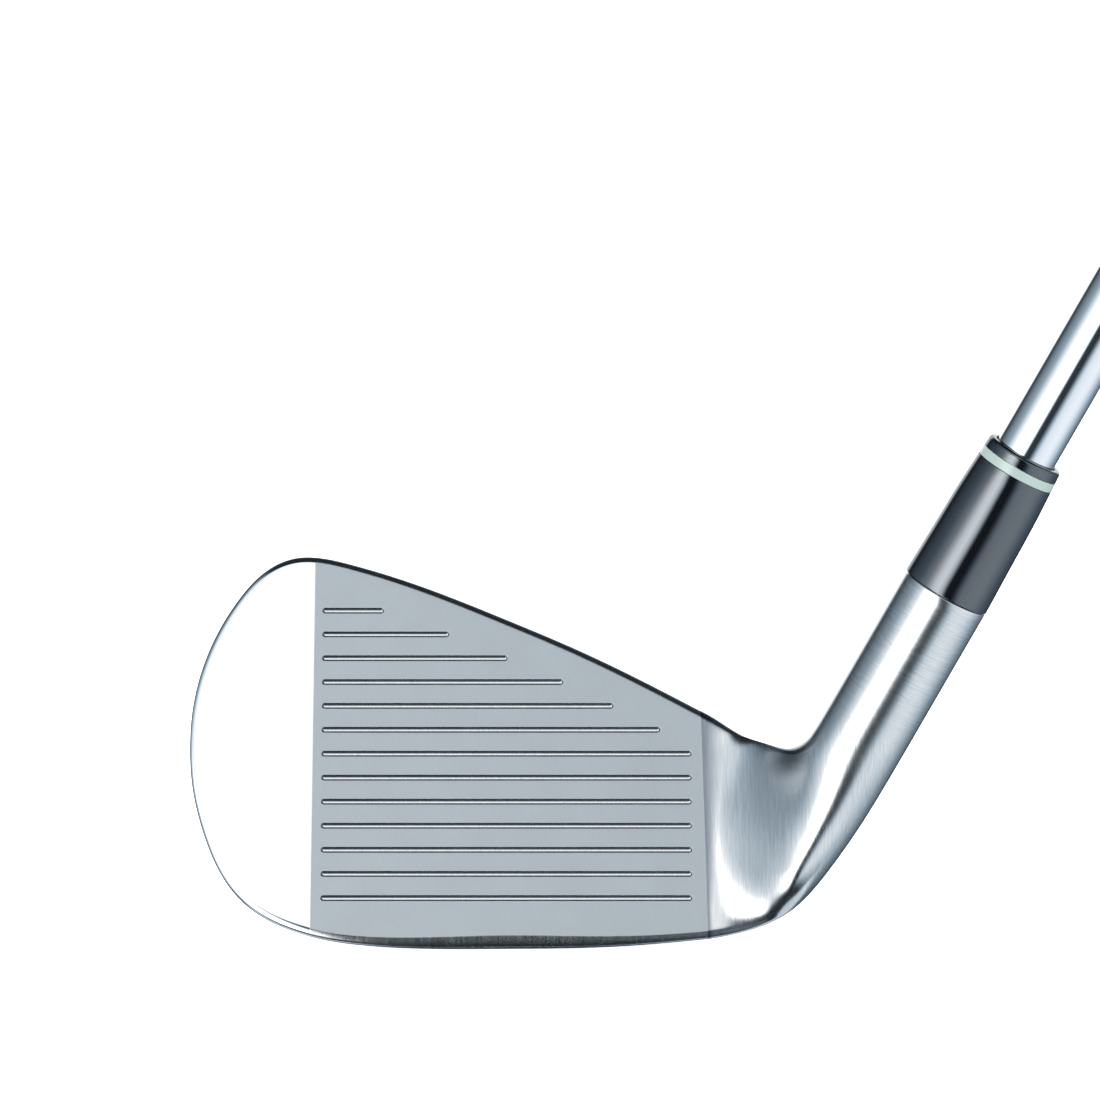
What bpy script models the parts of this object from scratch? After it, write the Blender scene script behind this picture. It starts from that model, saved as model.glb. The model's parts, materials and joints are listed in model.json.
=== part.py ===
"""Right-handed mid iron, built as separate solids in its address position.

Frame: metres, +Z up. The score lines run along X, the toe is at -X, the heel and the shaft are at +X, and
the ball leaves towards -Y. The origin is the point on the shaft axis, midway along the grip, where the club
is held. The shapes below are laid out from the sole's lowest point and moved there by their parent.

The head is one closed mesh. Its face is a flat plane that leans back by the loft. An outline on that plane
runs from the heel over the topline, round the toe and back under the face to the heel, and a rim profile
(front edge, topline or sole, back edge, back) is carried along it. From the heel the cross-sections turn
and change, step by step, into the circles of the hosel.
"""
import math

import bmesh
import bpy
import numpy as np
from mathutils import Vector

MM = 0.001

# Frame of the head, in millimetres and radians
LOFT = math.radians(26.0)
LIE = math.radians(61.0)
FACE_Y = -11.0            # Y where the face plane meets the ground
AXIS_X = 34.1             # X where the shaft axis meets the ground
AXIS_Y = -6.75            # Y of the shaft axis
HOLD_RUN = 820.0          # where the hands hold the club, along the shaft axis from the ground

# Outline of the face on its own plane: across (toe is negative) and up the face
OUTLINE = (
    (30.0, 37.7), (18.1, 44.0), (9.0, 48.4), (0.0, 52.3), (-9.2, 56.1), (-18.3, 59.4), (-24.0, 61.1),
    (-29.0, 62.2), (-32.5, 62.2), (-36.5, 60.6), (-41.0, 56.0), (-44.4, 50.4), (-46.7, 44.7),
    (-48.1, 38.3), (-48.4, 32.3), (-47.9, 26.1), (-46.4, 19.9), (-42.9, 12.1), (-38.3, 7.3),
    (-33.8, 4.8), (-29.2, 3.3), (-22.5, 2.2), (-11.2, 1.6), (0.0, 1.6), (9.0, 1.7), (18.0, 2.1),
    (30.0, 3.2),
)

# Rim along the outline: share of its length, inset of the flat face, front edge radius, direction at its
# end, width and turn of the topline or sole, back edge radius, direction of the back. Directions are in
# degrees, from outward in the face plane (0) towards straight back (90) and inward (180).
RIM = (
    (0.00, 1.15, 1.45, 90.0, 2.9, 1.0, 1.3, 182.0),
    (0.16, 1.15, 1.45, 90.0, 2.7, 1.0, 1.3, 182.0),
    (0.33, 1.10, 1.40, 90.0, 2.9, 1.0, 1.3, 182.0),
    (0.40, 0.85, 1.00, 90.0, 4.2, 1.0, 1.3, 184.0),
    (0.515, 0.70, 0.70, 90.0, 5.6, 2.0, 1.4, 186.0),
    (0.62, 0.90, 0.80, 93.0, 8.5, 8.0, 1.5, 190.0),
    (0.70, 1.50, 1.17, 99.0, 13.0, 17.0, 1.6, 196.0),
    (0.85, 2.40, 1.88, 104.0, 16.0, 24.0, 1.6, 200.0),
    (1.00, 1.45, 1.15, 101.0, 14.0, 20.0, 1.6, 196.0),
)
EDGE_STEPS = 4
RIM_STEPS = 5
BACK_EDGE_STEPS = 3
BACK_STEPS = 6
BACK_PULL_EDGE = 0.32     # Bezier handle at the rim, as a share of the back's span
BACK_PULL_MIDDLE = 0.38   # Bezier handle at the middle line

# Blade: straight sections between the heel and toe stations, then a fan of half sections round the toe
HEEL_STATION = 30.0
TOE_STATION = -30.0
MIDDLE_TOE = 31.0         # height of the middle line on the face plane at the toe station
MIDDLE_HEEL = 19.0        # and at the heel station
BACK_DEPTH = 4.6          # blade thickness on the middle line
BACK_SLOPE = -0.05
BLADE_STEPS = 15
TOE_STEPS = 22
FRONT_STEPS = 16

# Heel: upper and lower outline on their way from the face plane to the hosel (X, Y, Z)
HEEL_UPPER = (
    (32.7, 4.9, 32.5), (35.4, 4.1, 31.2), (38.1, 2.2, 30.5), (40.4, -1.2, 30.5), (42.2, -3.6, 30.9),
    (43.9, -5.4, 32.3),
)
HEEL_LOWER = (
    (34.2, -9.4, 3.6), (38.6, -9.0, 4.9), (42.8, -8.5, 7.4), (46.5, -8.0, 11.3), (49.8, -7.5, 15.7),
    (53.5, -7.1, 21.3),
)
HEEL_STEPS = 26
CREST_START = 2.2         # size of the rounding by the lower outline where the heel starts
CREST_GROWTH = 0.9        # share of the heel over which it grows to the hosel's radius
CREST_REACH = 0.5         # share of the heel over which the front turns round
HOLLOW_RANGE = 0.7
HOLLOW_SHARE = 0.35

# Hosel, along the shaft axis from the ground
HOSEL_RADIUS = 6.75
HOSEL_START = 36.4
HOSEL_TOP = 63.7
HOSEL_CHAMFER = 0.35
HOSEL_STEPS = 4
BORE_RADIUS = 5.05
BORE_BOTTOM = 31.0
BORE_SIDES = 32
CUTTER_REACH = 2.0

# Score lines
GROOVES = 13
GROOVE_LOWEST = 9.5
GROOVE_PITCH = 3.7
GROOVE_LEFT = -28.5
GROOVE_RIGHT = 28.0
GROOVE_EDGE_GAP = 5.5      # from the topline, square to it, to the heel end of a short score line
GROOVE_WIDTH = 0.84
GROOVE_DEPTH = 0.45
GROOVE_END_POINTS = 5

# Ferrule, above the hosel
FIT_GAP = 0.05
FERRULE_START = HOSEL_TOP + FIT_GAP
FERRULE_LENGTH = 23.9
FERRULE_RADII = (6.8, 6.68, 6.56, 6.45, 6.22, 5.92)
FERRULE_BORE = 4.95
RING_LENGTH = 1.45
CAP_LENGTH = 1.75
CAP_LIP = 0.5
LIP_ROUNDING = 0.3

# Shaft
SHAFT_TIP = 31.6
SHAFT_TIP_RADIUS = 4.7
SHAFT_BUTT_RADIUS = 7.62
SHAFT_FIRST_STEP = 300.0
SHAFT_STEP_PITCH = 34.0
SHAFT_STEPS = 12
SHAFT_STEP_BLEND = 1.6
SHAFT_END = 947.0
SHAFT_WALL = 0.46
SHAFT_SIDES = 32
TIP_WEIGHT_LENGTH = 16.0
TIP_WEIGHT_RADIUS = 4.0
TIP_WEIGHT_CHAMFER = 0.5
TIP_WEIGHT_SETBACK = 0.2
EPOXY_GAP = 0.1
EPOXY_SETBACK = 0.3
BAND_START = 652.0
BAND_LENGTH = 22.0
BAND_THICKNESS = 0.25

# Grip
GRIP_MOUTH = 684.0
GRIP_MOUTH_RADIUS = 9.6
GRIP_BUTT_RADIUS = 13.1
GRIP_CORE_RADIUS = 8.1
GRIP_TAPER_POWER = 0.9
GRIP_SIDES = 40
GRIP_ROWS = 9
MOUTH_CHAMFER = 0.9
MOUTH_STRAIGHT = 6.0
TAPE_START = 686.0
TAPE_THICKNESS = 0.25
TAPE_SETBACK = 1.0
CLUB_END = 952.5
CAP_RADIUS = 14.2
CAP_HEIGHT = 5.0
CAP_FLARE = 1.2
CAP_EDGE = ((0.0, 1.6), (0.6, 0.5), (2.0, 0.0))     # inset and drop of the cap's rounded edge
VENT_RADIUS = 2.0

# Shared colours: red, green, blue, metallic, roughness
STEEL = (0.72, 0.73, 0.75, 1.0, 0.28)
CHROME = (0.86, 0.87, 0.88, 1.0, 0.06)
BLACK_GLOSS = (0.012, 0.012, 0.014, 0.0, 0.12)
SILVER_TRIM = (0.74, 0.77, 0.72, 1.0, 0.2)
BRASS = (0.78, 0.57, 0.24, 1.0, 0.3)
EPOXY = (0.62, 0.55, 0.36, 0.0, 0.4)
TAPE = (0.75, 0.72, 0.62, 0.0, 0.8)
BAND = (0.25, 0.27, 0.3, 0.0, 0.35)
RUBBER = (0.025, 0.025, 0.027, 0.0, 0.75)


def clear_scene():
    """Remove every object, so that the model starts from nothing."""
    for item in list(bpy.data.objects):
        bpy.data.objects.remove(item, do_unlink=True)


def finish_material(name, values):
    """A Principled material from (red, green, blue, metallic, roughness)."""
    material = bpy.data.materials.new(name)
    material.use_nodes = True
    shader = material.node_tree.nodes["Principled BSDF"]
    shader.inputs["Base Color"].default_value = (*values[:3], 1.0)
    shader.inputs["Metallic"].default_value = values[3]
    shader.inputs["Roughness"].default_value = values[4]
    return material


def new_object(name, mesh, values, parent=None):
    """Link a mesh as a named object with its own material, shaded smooth except at sharp corners."""
    piece = bpy.data.objects.new(name, mesh)
    bpy.context.scene.collection.objects.link(piece)
    mesh.materials.append(finish_material(name + "_finish", values))
    mesh.shade_smooth()
    mesh.set_sharp_from_angle(angle=math.radians(32.0))
    piece.parent = parent
    return piece


def mesh_from(name, points, faces):
    """A mesh from millimetre points and faces, with its faces turned outward."""
    mesh = bpy.data.meshes.new(name)
    body = bmesh.new()
    corners = [body.verts.new(Vector(point) * MM) for point in points]
    for face in faces:
        body.faces.new([corners[index] for index in face])
    bmesh.ops.recalc_face_normals(body, faces=body.faces)
    body.to_mesh(mesh)
    body.free()
    return mesh


# ---------------------------------------------------------------- curves

def natural_spline(knots, values, at):
    """Natural cubic spline through the rows of values, read at the places in at."""
    knots = np.asarray(knots, float)
    values = np.asarray(values, float)
    count = len(knots)
    gaps = np.diff(knots)
    slopes = np.diff(values, axis=0) / gaps[:, None]
    system = np.eye(count)
    right = np.zeros_like(values)
    for row in range(1, count - 1):
        system[row, row - 1] = gaps[row - 1]
        system[row, row] = 2.0 * (gaps[row - 1] + gaps[row])
        system[row, row + 1] = gaps[row]
        right[row] = 6.0 * (slopes[row] - slopes[row - 1])
    bend = np.linalg.solve(system, right)
    at = np.atleast_1d(np.asarray(at, float))
    cell = np.clip(np.searchsorted(knots, at) - 1, 0, count - 2)
    after = (at - knots[cell])[:, None]
    before = (knots[cell + 1] - at)[:, None]
    gap = gaps[cell][:, None]
    low = values[cell] - bend[cell] * gap ** 2 / 6.0
    high = values[cell + 1] - bend[cell + 1] * gap ** 2 / 6.0
    cubic = (bend[cell] * before ** 3 + bend[cell + 1] * after ** 3) / (6.0 * gap)
    return cubic + low * before / gap + high * after / gap


def chord_lengths(points):
    """Running length along a list of points."""
    steps = np.linalg.norm(np.diff(np.asarray(points, float), axis=0), axis=1)
    return np.concatenate(([0.0], np.cumsum(steps)))


def smoothstep(value):
    """Ease from 0 to 1."""
    value = np.clip(value, 0.0, 1.0)
    return value * value * (3.0 - 2.0 * value)


OUTLINE_RUN = chord_lengths(OUTLINE)


def outline_at(share):
    """Point and outward direction of the face outline at a share of its length."""
    run = share * OUTLINE_RUN[-1]
    point = natural_spline(OUTLINE_RUN, OUTLINE, run)[0]
    step = 0.05
    ahead = natural_spline(OUTLINE_RUN, OUTLINE, run + step)[0]
    behind = natural_spline(OUTLINE_RUN, OUTLINE, run - step)[0]
    along = (ahead - behind) / np.linalg.norm(ahead - behind)
    return point, np.array([along[1], -along[0]])


def rim_at(share):
    """Rim measures at a share of the outline's length, eased between their stations."""
    table = np.array(RIM)
    cell = int(np.clip(np.searchsorted(table[:, 0], share) - 1, 0, len(table) - 2))
    blend = smoothstep((share - table[cell, 0]) / (table[cell + 1, 0] - table[cell, 0]))
    return table[cell, 1:] * (1.0 - blend) + table[cell + 1, 1:] * blend


def outline_share(across, lower):
    """Share of the outline's length where the topline or the lower edge stands at a place across."""
    shares = np.linspace(0.6, 1.0, 401) if lower else np.linspace(0.0, 0.4, 401)
    places = natural_spline(OUTLINE_RUN, OUTLINE, shares * OUTLINE_RUN[-1])[:, 0]
    if not lower:
        shares = shares[::-1]
        places = places[::-1]
    return float(np.interp(across, places, shares))


def arc_points(start, heading, turn, length, steps):
    """Points along an arc of the given length that turns by turn radians from heading."""
    points = []
    place = np.array(start, float)
    for step in range(steps):
        middle = heading + turn * (step + 0.5) / steps
        place = place + np.array([math.cos(middle), math.sin(middle)]) * length / steps
        points.append(place)
    return points


def rim_profile(share):
    """Outward and depth coordinates from the edge of the flat face round to the back."""
    _, radius, front_end, width, turn, back_radius, back_end = rim_at(share)
    front_end = math.radians(front_end)
    turn = math.radians(turn)
    back_end = math.radians(back_end)
    profile = [np.zeros(2)]
    profile += arc_points(profile[-1], 0.0, front_end, radius * front_end, EDGE_STEPS)
    profile += arc_points(profile[-1], front_end, turn, width, RIM_STEPS)
    back_turn = back_end - front_end - turn
    profile += arc_points(profile[-1], front_end + turn, back_turn, back_radius * back_turn, BACK_EDGE_STEPS)
    return np.array(profile), back_end


def middle_height(across):
    """Height of the blade's middle line on the face plane."""
    blend = (across - TOE_STATION) / (HEEL_STATION - TOE_STATION)
    return MIDDLE_TOE + (MIDDLE_HEEL - MIDDLE_TOE) * blend


def half_section(share, across):
    """Face-plane coordinates from the flat face's edge, over the rim, to the middle line on the back."""
    point, outward = outline_at(share)
    edge = point - outward * rim_at(share)[0]
    profile, back_end = rim_profile(share)
    flat = edge + profile[:, :1] * outward
    rim = np.column_stack((flat, profile[:, 1]))
    middle = np.array([across, middle_height(across), BACK_DEPTH])
    last = rim[-1]
    span = np.linalg.norm(middle[:2] - last[:2])
    inward = (middle[:2] - last[:2]) / span
    leave = np.array([*(inward * -math.cos(back_end)), math.sin(back_end)])
    arrive = np.array([*(-inward), -inward[1] * BACK_SLOPE])
    first_handle = last + leave * span * BACK_PULL_EDGE
    second_handle = middle + arrive * span * BACK_PULL_MIDDLE
    back = []
    for step in range(1, BACK_STEPS + 1):
        t = step / BACK_STEPS
        back.append((1 - t) ** 3 * last + 3 * (1 - t) ** 2 * t * first_handle
                    + 3 * (1 - t) * t ** 2 * second_handle + t ** 3 * middle)
    return np.vstack((rim, back))


def face_to_world(points):
    """World millimetres from face-plane coordinates (across, up the face, depth behind it)."""
    points = np.atleast_2d(points)
    across = points[:, 0]
    height = points[:, 1]
    depth = points[:, 2]
    back = FACE_Y + height * math.sin(LOFT) + depth * math.cos(LOFT)
    up = height * math.cos(LOFT) - depth * math.sin(LOFT)
    return np.column_stack((across, back, up))


def axis_point(run):
    """World point on the shaft axis, at a distance from the ground along it."""
    return np.array([AXIS_X + run * math.cos(LIE), AXIS_Y, run * math.sin(LIE)])


# ---------------------------------------------------------------- head

def heel_ring():
    """Closed ring at the heel station: up the flat face, then round the back from top to bottom."""
    upper = face_to_world(half_section(0.0, HEEL_STATION))
    lower = face_to_world(half_section(1.0, HEEL_STATION))
    shares = np.linspace(0.0, 1.0, FRONT_STEPS + 1)[:, None]
    front = lower[0] * (1.0 - shares) + upper[0] * shares
    return np.vstack((front, upper[1:], lower[-2:0:-1]))


def circle_angles():
    """Angle on the hosel circle for each point of a ring, 0 at its upper outline."""
    back_count = 2 * (EDGE_STEPS + RIM_STEPS + BACK_EDGE_STEPS + BACK_STEPS)
    front = np.linspace(-math.pi, 0.0, FRONT_STEPS + 1)
    back = np.linspace(0.0, math.pi, back_count + 1)[1:-1]
    return np.concatenate((front, back))


def section_frame(upper, lower):
    """Axes of a section: across it, back through it, and along the spine."""
    across = upper - lower
    unit = across / np.linalg.norm(across)
    back = np.array([0.0, 1.0, 0.0]) - unit[1] * unit
    back = back / np.linalg.norm(back)
    return across, back, np.cross(back, unit)


def tube_section(angles, length, share):
    """Section as (share of its length, depth, 0): round below its crest, easing to the face above it.

    Below the crest it has the rounding of the hosel; above it the depth runs out partly as a circle
    and partly as a hollow, the more so the longer the section is. The back is half an ellipse.
    """
    size = CREST_START + (HOSEL_RADIUS - CREST_START) * smoothstep(share / CREST_GROWTH)
    size = min(size, length / 2.0)
    hollow = HOLLOW_SHARE * smoothstep((length / (2.0 * HOSEL_RADIUS) - 1.0) / HOLLOW_RANGE)
    cosine = np.cos(angles)
    sine = np.abs(np.sin(angles))
    above = np.clip(cosine, 0.0, 1.0)
    place = np.where(cosine < 0.0, size * (1.0 + cosine), size + (length - size) * above) / length
    eased = sine * (1.0 - hollow) + np.cos(math.pi / 2.0 * above) ** 2 * hollow
    dip = np.where(cosine < 0.0, sine, eased)
    place = np.where(angles > 0.0, 0.5 + 0.5 * cosine, place)
    depth = np.where(angles > 0.0, HOSEL_RADIUS * sine, -HOSEL_RADIUS * dip)
    return np.column_stack((place, depth, angles * 0.0))


def heel_rings():
    """Rings from the heel station to the start of the round hosel."""
    ring = heel_ring()
    start_upper = face_to_world((*OUTLINE[0], 0.0))[0]
    start_lower = face_to_world((*OUTLINE[-1], 0.0))[0]
    side = np.array([-math.sin(LIE), 0.0, math.cos(LIE)]) * HOSEL_RADIUS
    end = axis_point(HOSEL_START)
    past = axis_point(HOSEL_START + 5.0)
    before_upper = start_upper - (HEEL_UPPER[0] - start_upper)
    before_lower = start_lower - (HEEL_LOWER[0] - start_lower)
    upper_knots = np.vstack((before_upper, start_upper, HEEL_UPPER, end + side, past + side))
    lower_knots = np.vstack((before_lower, start_lower, HEEL_LOWER, end - side, past - side))
    knots = np.arange(len(upper_knots)) - 1.0
    last = len(upper_knots) - 3
    shares = np.linspace(0.0, last, HEEL_STEPS + 1)
    uppers = natural_spline(knots, upper_knots, shares)
    lowers = natural_spline(knots, lower_knots, shares)
    across, back, along = section_frame(start_upper, start_lower)
    basis = np.column_stack((across, back, along))
    local = np.linalg.solve(basis, (ring - start_lower).T).T
    angles = circle_angles()
    rings = []
    for share, upper, lower in zip(shares, uppers, lowers):
        round_shape = tube_section(angles, np.linalg.norm(upper - lower), share / last)
        front_blend = smoothstep(share / last / CREST_REACH)
        back_blend = smoothstep(share / last)
        backward = np.where(angles > 0.0, np.sin(angles) ** 2, 0.0)
        blend = (front_blend + (back_blend - front_blend) * backward)[:, None]
        shape = local * (1.0 - blend) + round_shape * blend
        across, back, along = section_frame(upper, lower)
        rings.append(lower + shape @ np.vstack((across, back, along)))
    return rings


def hosel_rings():
    """Circles up the hosel, drawn in at the top by its chamfer."""
    side = np.array([-math.sin(LIE), 0.0, math.cos(LIE)])
    angles = circle_angles()
    stops = list(np.linspace(HOSEL_START, HOSEL_TOP - HOSEL_CHAMFER, HOSEL_STEPS + 1)[1:])
    radii = [HOSEL_RADIUS] * len(stops)
    stops.append(HOSEL_TOP)
    radii.append(HOSEL_RADIUS - HOSEL_CHAMFER)
    rings = []
    for stop, radius in zip(stops, radii):
        turned = np.cos(angles)[:, None] * side + np.sin(angles)[:, None] * np.array([0.0, 1.0, 0.0])
        rings.append(axis_point(stop) + turned * radius)
    return rings


def head_mesh():
    """The head's closed surface, before its bore and score lines are cut."""
    points = []
    faces = []

    def add_row(row):
        """Store a row of points and return their indices."""
        first = len(points)
        points.extend(row)
        return list(range(first, first + len(row)))

    def bridge(row_a, row_b, closed=False):
        """Quads between two rows of equal length."""
        count = len(row_a)
        for index in range(count if closed else count - 1):
            after = (index + 1) % count
            faces.append((row_a[index], row_a[after], row_b[after], row_b[index]))

    rings = [add_row(ring) for ring in heel_rings() + hosel_rings()]
    for ring_a, ring_b in zip(rings, rings[1:]):
        bridge(ring_a, ring_b, closed=True)
    faces.append(rings[-1])

    half_count = EDGE_STEPS + RIM_STEPS + BACK_EDGE_STEPS + BACK_STEPS
    heel = rings[0]
    upper_row = heel[FRONT_STEPS:FRONT_STEPS + half_count + 1]
    lower_row = [heel[0]] + heel[:FRONT_STEPS + half_count - 1:-1]
    upper_edge = [upper_row[0]]
    lower_edge = [lower_row[0]]
    for step in range(1, BLADE_STEPS + 1):
        across = HEEL_STATION + (TOE_STATION - HEEL_STATION) * step / BLADE_STEPS
        upper = add_row(face_to_world(half_section(outline_share(across, False), across)))
        lower = add_row(face_to_world(half_section(outline_share(across, True), across))[:-1])
        lower.append(upper[-1])
        bridge(upper_row, upper)
        bridge(lower_row, lower)
        upper_row = upper
        lower_row = lower
        upper_edge.append(upper[0])
        lower_edge.append(lower[0])

    first_share = outline_share(TOE_STATION, False)
    last_share = outline_share(TOE_STATION, True)
    previous = upper_row
    toe_edge = []
    for step in range(1, TOE_STEPS):
        share = first_share + (last_share - first_share) * step / TOE_STEPS
        row = add_row(face_to_world(half_section(share, TOE_STATION))[:-1])
        row.append(upper_row[-1])
        bridge(previous[:-1], row[:-1])
        faces.append((previous[-2], row[-2], upper_row[-1]))
        toe_edge.append(row[0])
        previous = row
    bridge(previous[:-1], lower_row[:-1])
    faces.append((previous[-2], lower_row[-2], upper_row[-1]))

    faces.append(heel[1:FRONT_STEPS] + upper_edge + toe_edge + lower_edge[::-1])
    return mesh_from("head", points, faces)


def groove_right_end(height):
    """Across position of a score line's heel end: on the common line, or short of the topline."""
    places = [outline_at(share) for share in np.linspace(0.0, 0.33, 120)]
    line = np.array([point - outward * GROOVE_EDGE_GAP for point, outward in places])
    reach = float(np.interp(height, line[:, 1], line[:, 0]))
    return min(GROOVE_RIGHT, reach)


def groove_cutter():
    """One mesh of round-ended bars, sunk into the face by the score lines' depth."""
    points = []
    faces = []
    radius = GROOVE_WIDTH / 2.0
    angles = np.linspace(math.pi / 2.0, 1.5 * math.pi, GROOVE_END_POINTS)
    for row in range(GROOVES):
        height = GROOVE_LOWEST + GROOVE_PITCH * row
        right = groove_right_end(height) - radius
        left = GROOVE_LEFT + radius
        outline = [(left + radius * math.cos(angle), height + radius * math.sin(angle)) for angle in angles]
        outline += [(right - radius * math.cos(angle), height - radius * math.sin(angle)) for angle in angles]
        first = len(points)
        for depth in (-1.0, GROOVE_DEPTH):
            points.extend(face_to_world([(*place, depth) for place in outline]))
        count = len(outline)
        faces.append(list(range(first, first + count)))
        faces.append(list(range(first + count, first + 2 * count))[::-1])
        for index in range(count):
            after = (index + 1) % count
            faces.append((first + index, first + after, first + count + after, first + count + index))
    return mesh_from("groove_cutter", points, faces)


# ---------------------------------------------------------------- turned pieces

def turned_mesh(name, profile, sides, closed_ring):
    """Turn a (radius, run) profile about the shaft axis. A closed ring profile makes a tube."""
    side = np.array([-math.sin(LIE), 0.0, math.cos(LIE)])
    back = np.array([0.0, 1.0, 0.0])
    points = []
    faces = []
    rows = []
    for radius, run in profile:
        centre = axis_point(run)
        if radius == 0.0:
            rows.append([len(points)])
            points.append(centre)
            continue
        rows.append(list(range(len(points), len(points) + sides)))
        for step in range(sides):
            angle = 2.0 * math.pi * step / sides
            points.append(centre + (side * math.cos(angle) + back * math.sin(angle)) * radius)
    pairs = list(zip(rows, rows[1:]))
    if closed_ring:
        pairs.append((rows[-1], rows[0]))
    for row_a, row_b in pairs:
        for index in range(sides):
            after = (index + 1) % sides
            if len(row_a) == 1:
                faces.append((row_a[0], row_b[after], row_b[index]))
            elif len(row_b) == 1:
                faces.append((row_a[index], row_a[after], row_b[0]))
            else:
                faces.append((row_a[index], row_a[after], row_b[after], row_b[index]))
    return mesh_from(name, points, faces)


def tube(inner, start, end, outer):
    """Closed profile of a plain tube."""
    return [(inner, start), (outer, start), (outer, end), (inner, end)]


def shaft_radius(run):
    """Outer radius of the stepped shaft."""
    growth = (SHAFT_BUTT_RADIUS - SHAFT_TIP_RADIUS) / SHAFT_STEPS
    radius = SHAFT_TIP_RADIUS
    for step in range(SHAFT_STEPS):
        place = SHAFT_FIRST_STEP + step * SHAFT_STEP_PITCH
        radius += growth * float(smoothstep((run - place) / SHAFT_STEP_BLEND))
    return radius


def shaft_profile():
    """Outer steps from tip to butt, then the smooth inner wall back to the tip."""
    stops = [SHAFT_TIP]
    for step in range(SHAFT_STEPS):
        place = SHAFT_FIRST_STEP + step * SHAFT_STEP_PITCH
        stops += [place, place + SHAFT_STEP_BLEND]
    stops.append(SHAFT_END)
    outer = [(shaft_radius(stop), stop) for stop in stops]
    last_step = SHAFT_FIRST_STEP + SHAFT_STEPS * SHAFT_STEP_PITCH
    inner_stops = (SHAFT_END, last_step, SHAFT_FIRST_STEP, SHAFT_TIP)
    inner = [(shaft_radius(stop) - SHAFT_WALL, stop) for stop in inner_stops]
    return outer + inner


def ferrule_radius(run):
    """Outer radius of the ferrule at a distance above the hosel."""
    places = np.linspace(0.0, FERRULE_LENGTH, len(FERRULE_RADII))
    radii = np.array(FERRULE_RADII)[:, None]
    return float(natural_spline(places, radii, run - FERRULE_START)[0, 0])


def ferrule_profile(start, end, steps, lip=0.0):
    """Closed profile of one ferrule piece; lip rounds its upper outer edge."""
    outer = [(ferrule_radius(run), run) for run in np.linspace(start, end - lip, steps + 1)]
    if lip:
        top = ferrule_radius(end)
        outer.append((top - LIP_ROUNDING * lip, end - LIP_ROUNDING * lip))
        outer.append((top - lip, end))
    return [(FERRULE_BORE, start)] + outer + [(FERRULE_BORE, end)]


def make_ferrule(parent):
    """Barrel, trim ring and cap, stacked face to face."""
    ring_start = FERRULE_START + FERRULE_LENGTH - CAP_LENGTH - RING_LENGTH
    cap_start = ring_start + RING_LENGTH
    end = FERRULE_START + FERRULE_LENGTH
    barrel = ferrule_profile(FERRULE_START, ring_start - FIT_GAP, 8)
    ring = ferrule_profile(ring_start, cap_start - FIT_GAP, 2)
    cap = ferrule_profile(cap_start, end, 2, lip=CAP_LIP)
    new_object("ferrule_barrel", turned_mesh("ferrule_barrel", barrel, GRIP_SIDES, True), BLACK_GLOSS, parent)
    new_object("ferrule_ring", turned_mesh("ferrule_ring", ring, GRIP_SIDES, True), SILVER_TRIM, parent)
    new_object("ferrule_cap", turned_mesh("ferrule_cap", cap, GRIP_SIDES, True), BLACK_GLOSS, parent)


def make_shaft(parent):
    """Shaft tube, the weight in its tip, the adhesive round its tip and the band below the grip."""
    new_object("shaft", turned_mesh("shaft", shaft_profile(), SHAFT_SIDES, True), CHROME, parent)
    weight_end = SHAFT_TIP + TIP_WEIGHT_LENGTH
    weight_start = SHAFT_TIP + TIP_WEIGHT_SETBACK
    edge = TIP_WEIGHT_RADIUS - TIP_WEIGHT_CHAMFER
    weight = [(0.0, weight_start), (edge, weight_start)]
    weight += [(TIP_WEIGHT_RADIUS, weight_start + TIP_WEIGHT_CHAMFER)]
    weight += [(TIP_WEIGHT_RADIUS, weight_end - TIP_WEIGHT_CHAMFER), (edge, weight_end), (0.0, weight_end)]
    new_object("tip_weight", turned_mesh("tip_weight", weight, SHAFT_SIDES, False), BRASS, parent)
    inner = SHAFT_TIP_RADIUS + EPOXY_GAP
    outer = BORE_RADIUS - EPOXY_GAP
    sleeve = tube(inner, SHAFT_TIP, HOSEL_TOP - EPOXY_SETBACK, outer)
    new_object("hosel_epoxy", turned_mesh("hosel_epoxy", sleeve, SHAFT_SIDES, True), EPOXY, parent)
    band_inner = shaft_radius(BAND_START) + FIT_GAP
    band = tube(band_inner, BAND_START, BAND_START + BAND_LENGTH, band_inner + BAND_THICKNESS)
    new_object("shaft_band", turned_mesh("shaft_band", band, SHAFT_SIDES, True), BAND, parent)


def grip_radius(run):
    """Outer radius of the grip: a slim mouth that swells towards the butt."""
    share = (run - GRIP_MOUTH) / (CLUB_END - CAP_HEIGHT - GRIP_MOUTH)
    return GRIP_MOUTH_RADIUS + (GRIP_BUTT_RADIUS - GRIP_MOUTH_RADIUS) * share ** GRIP_TAPER_POWER


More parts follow.
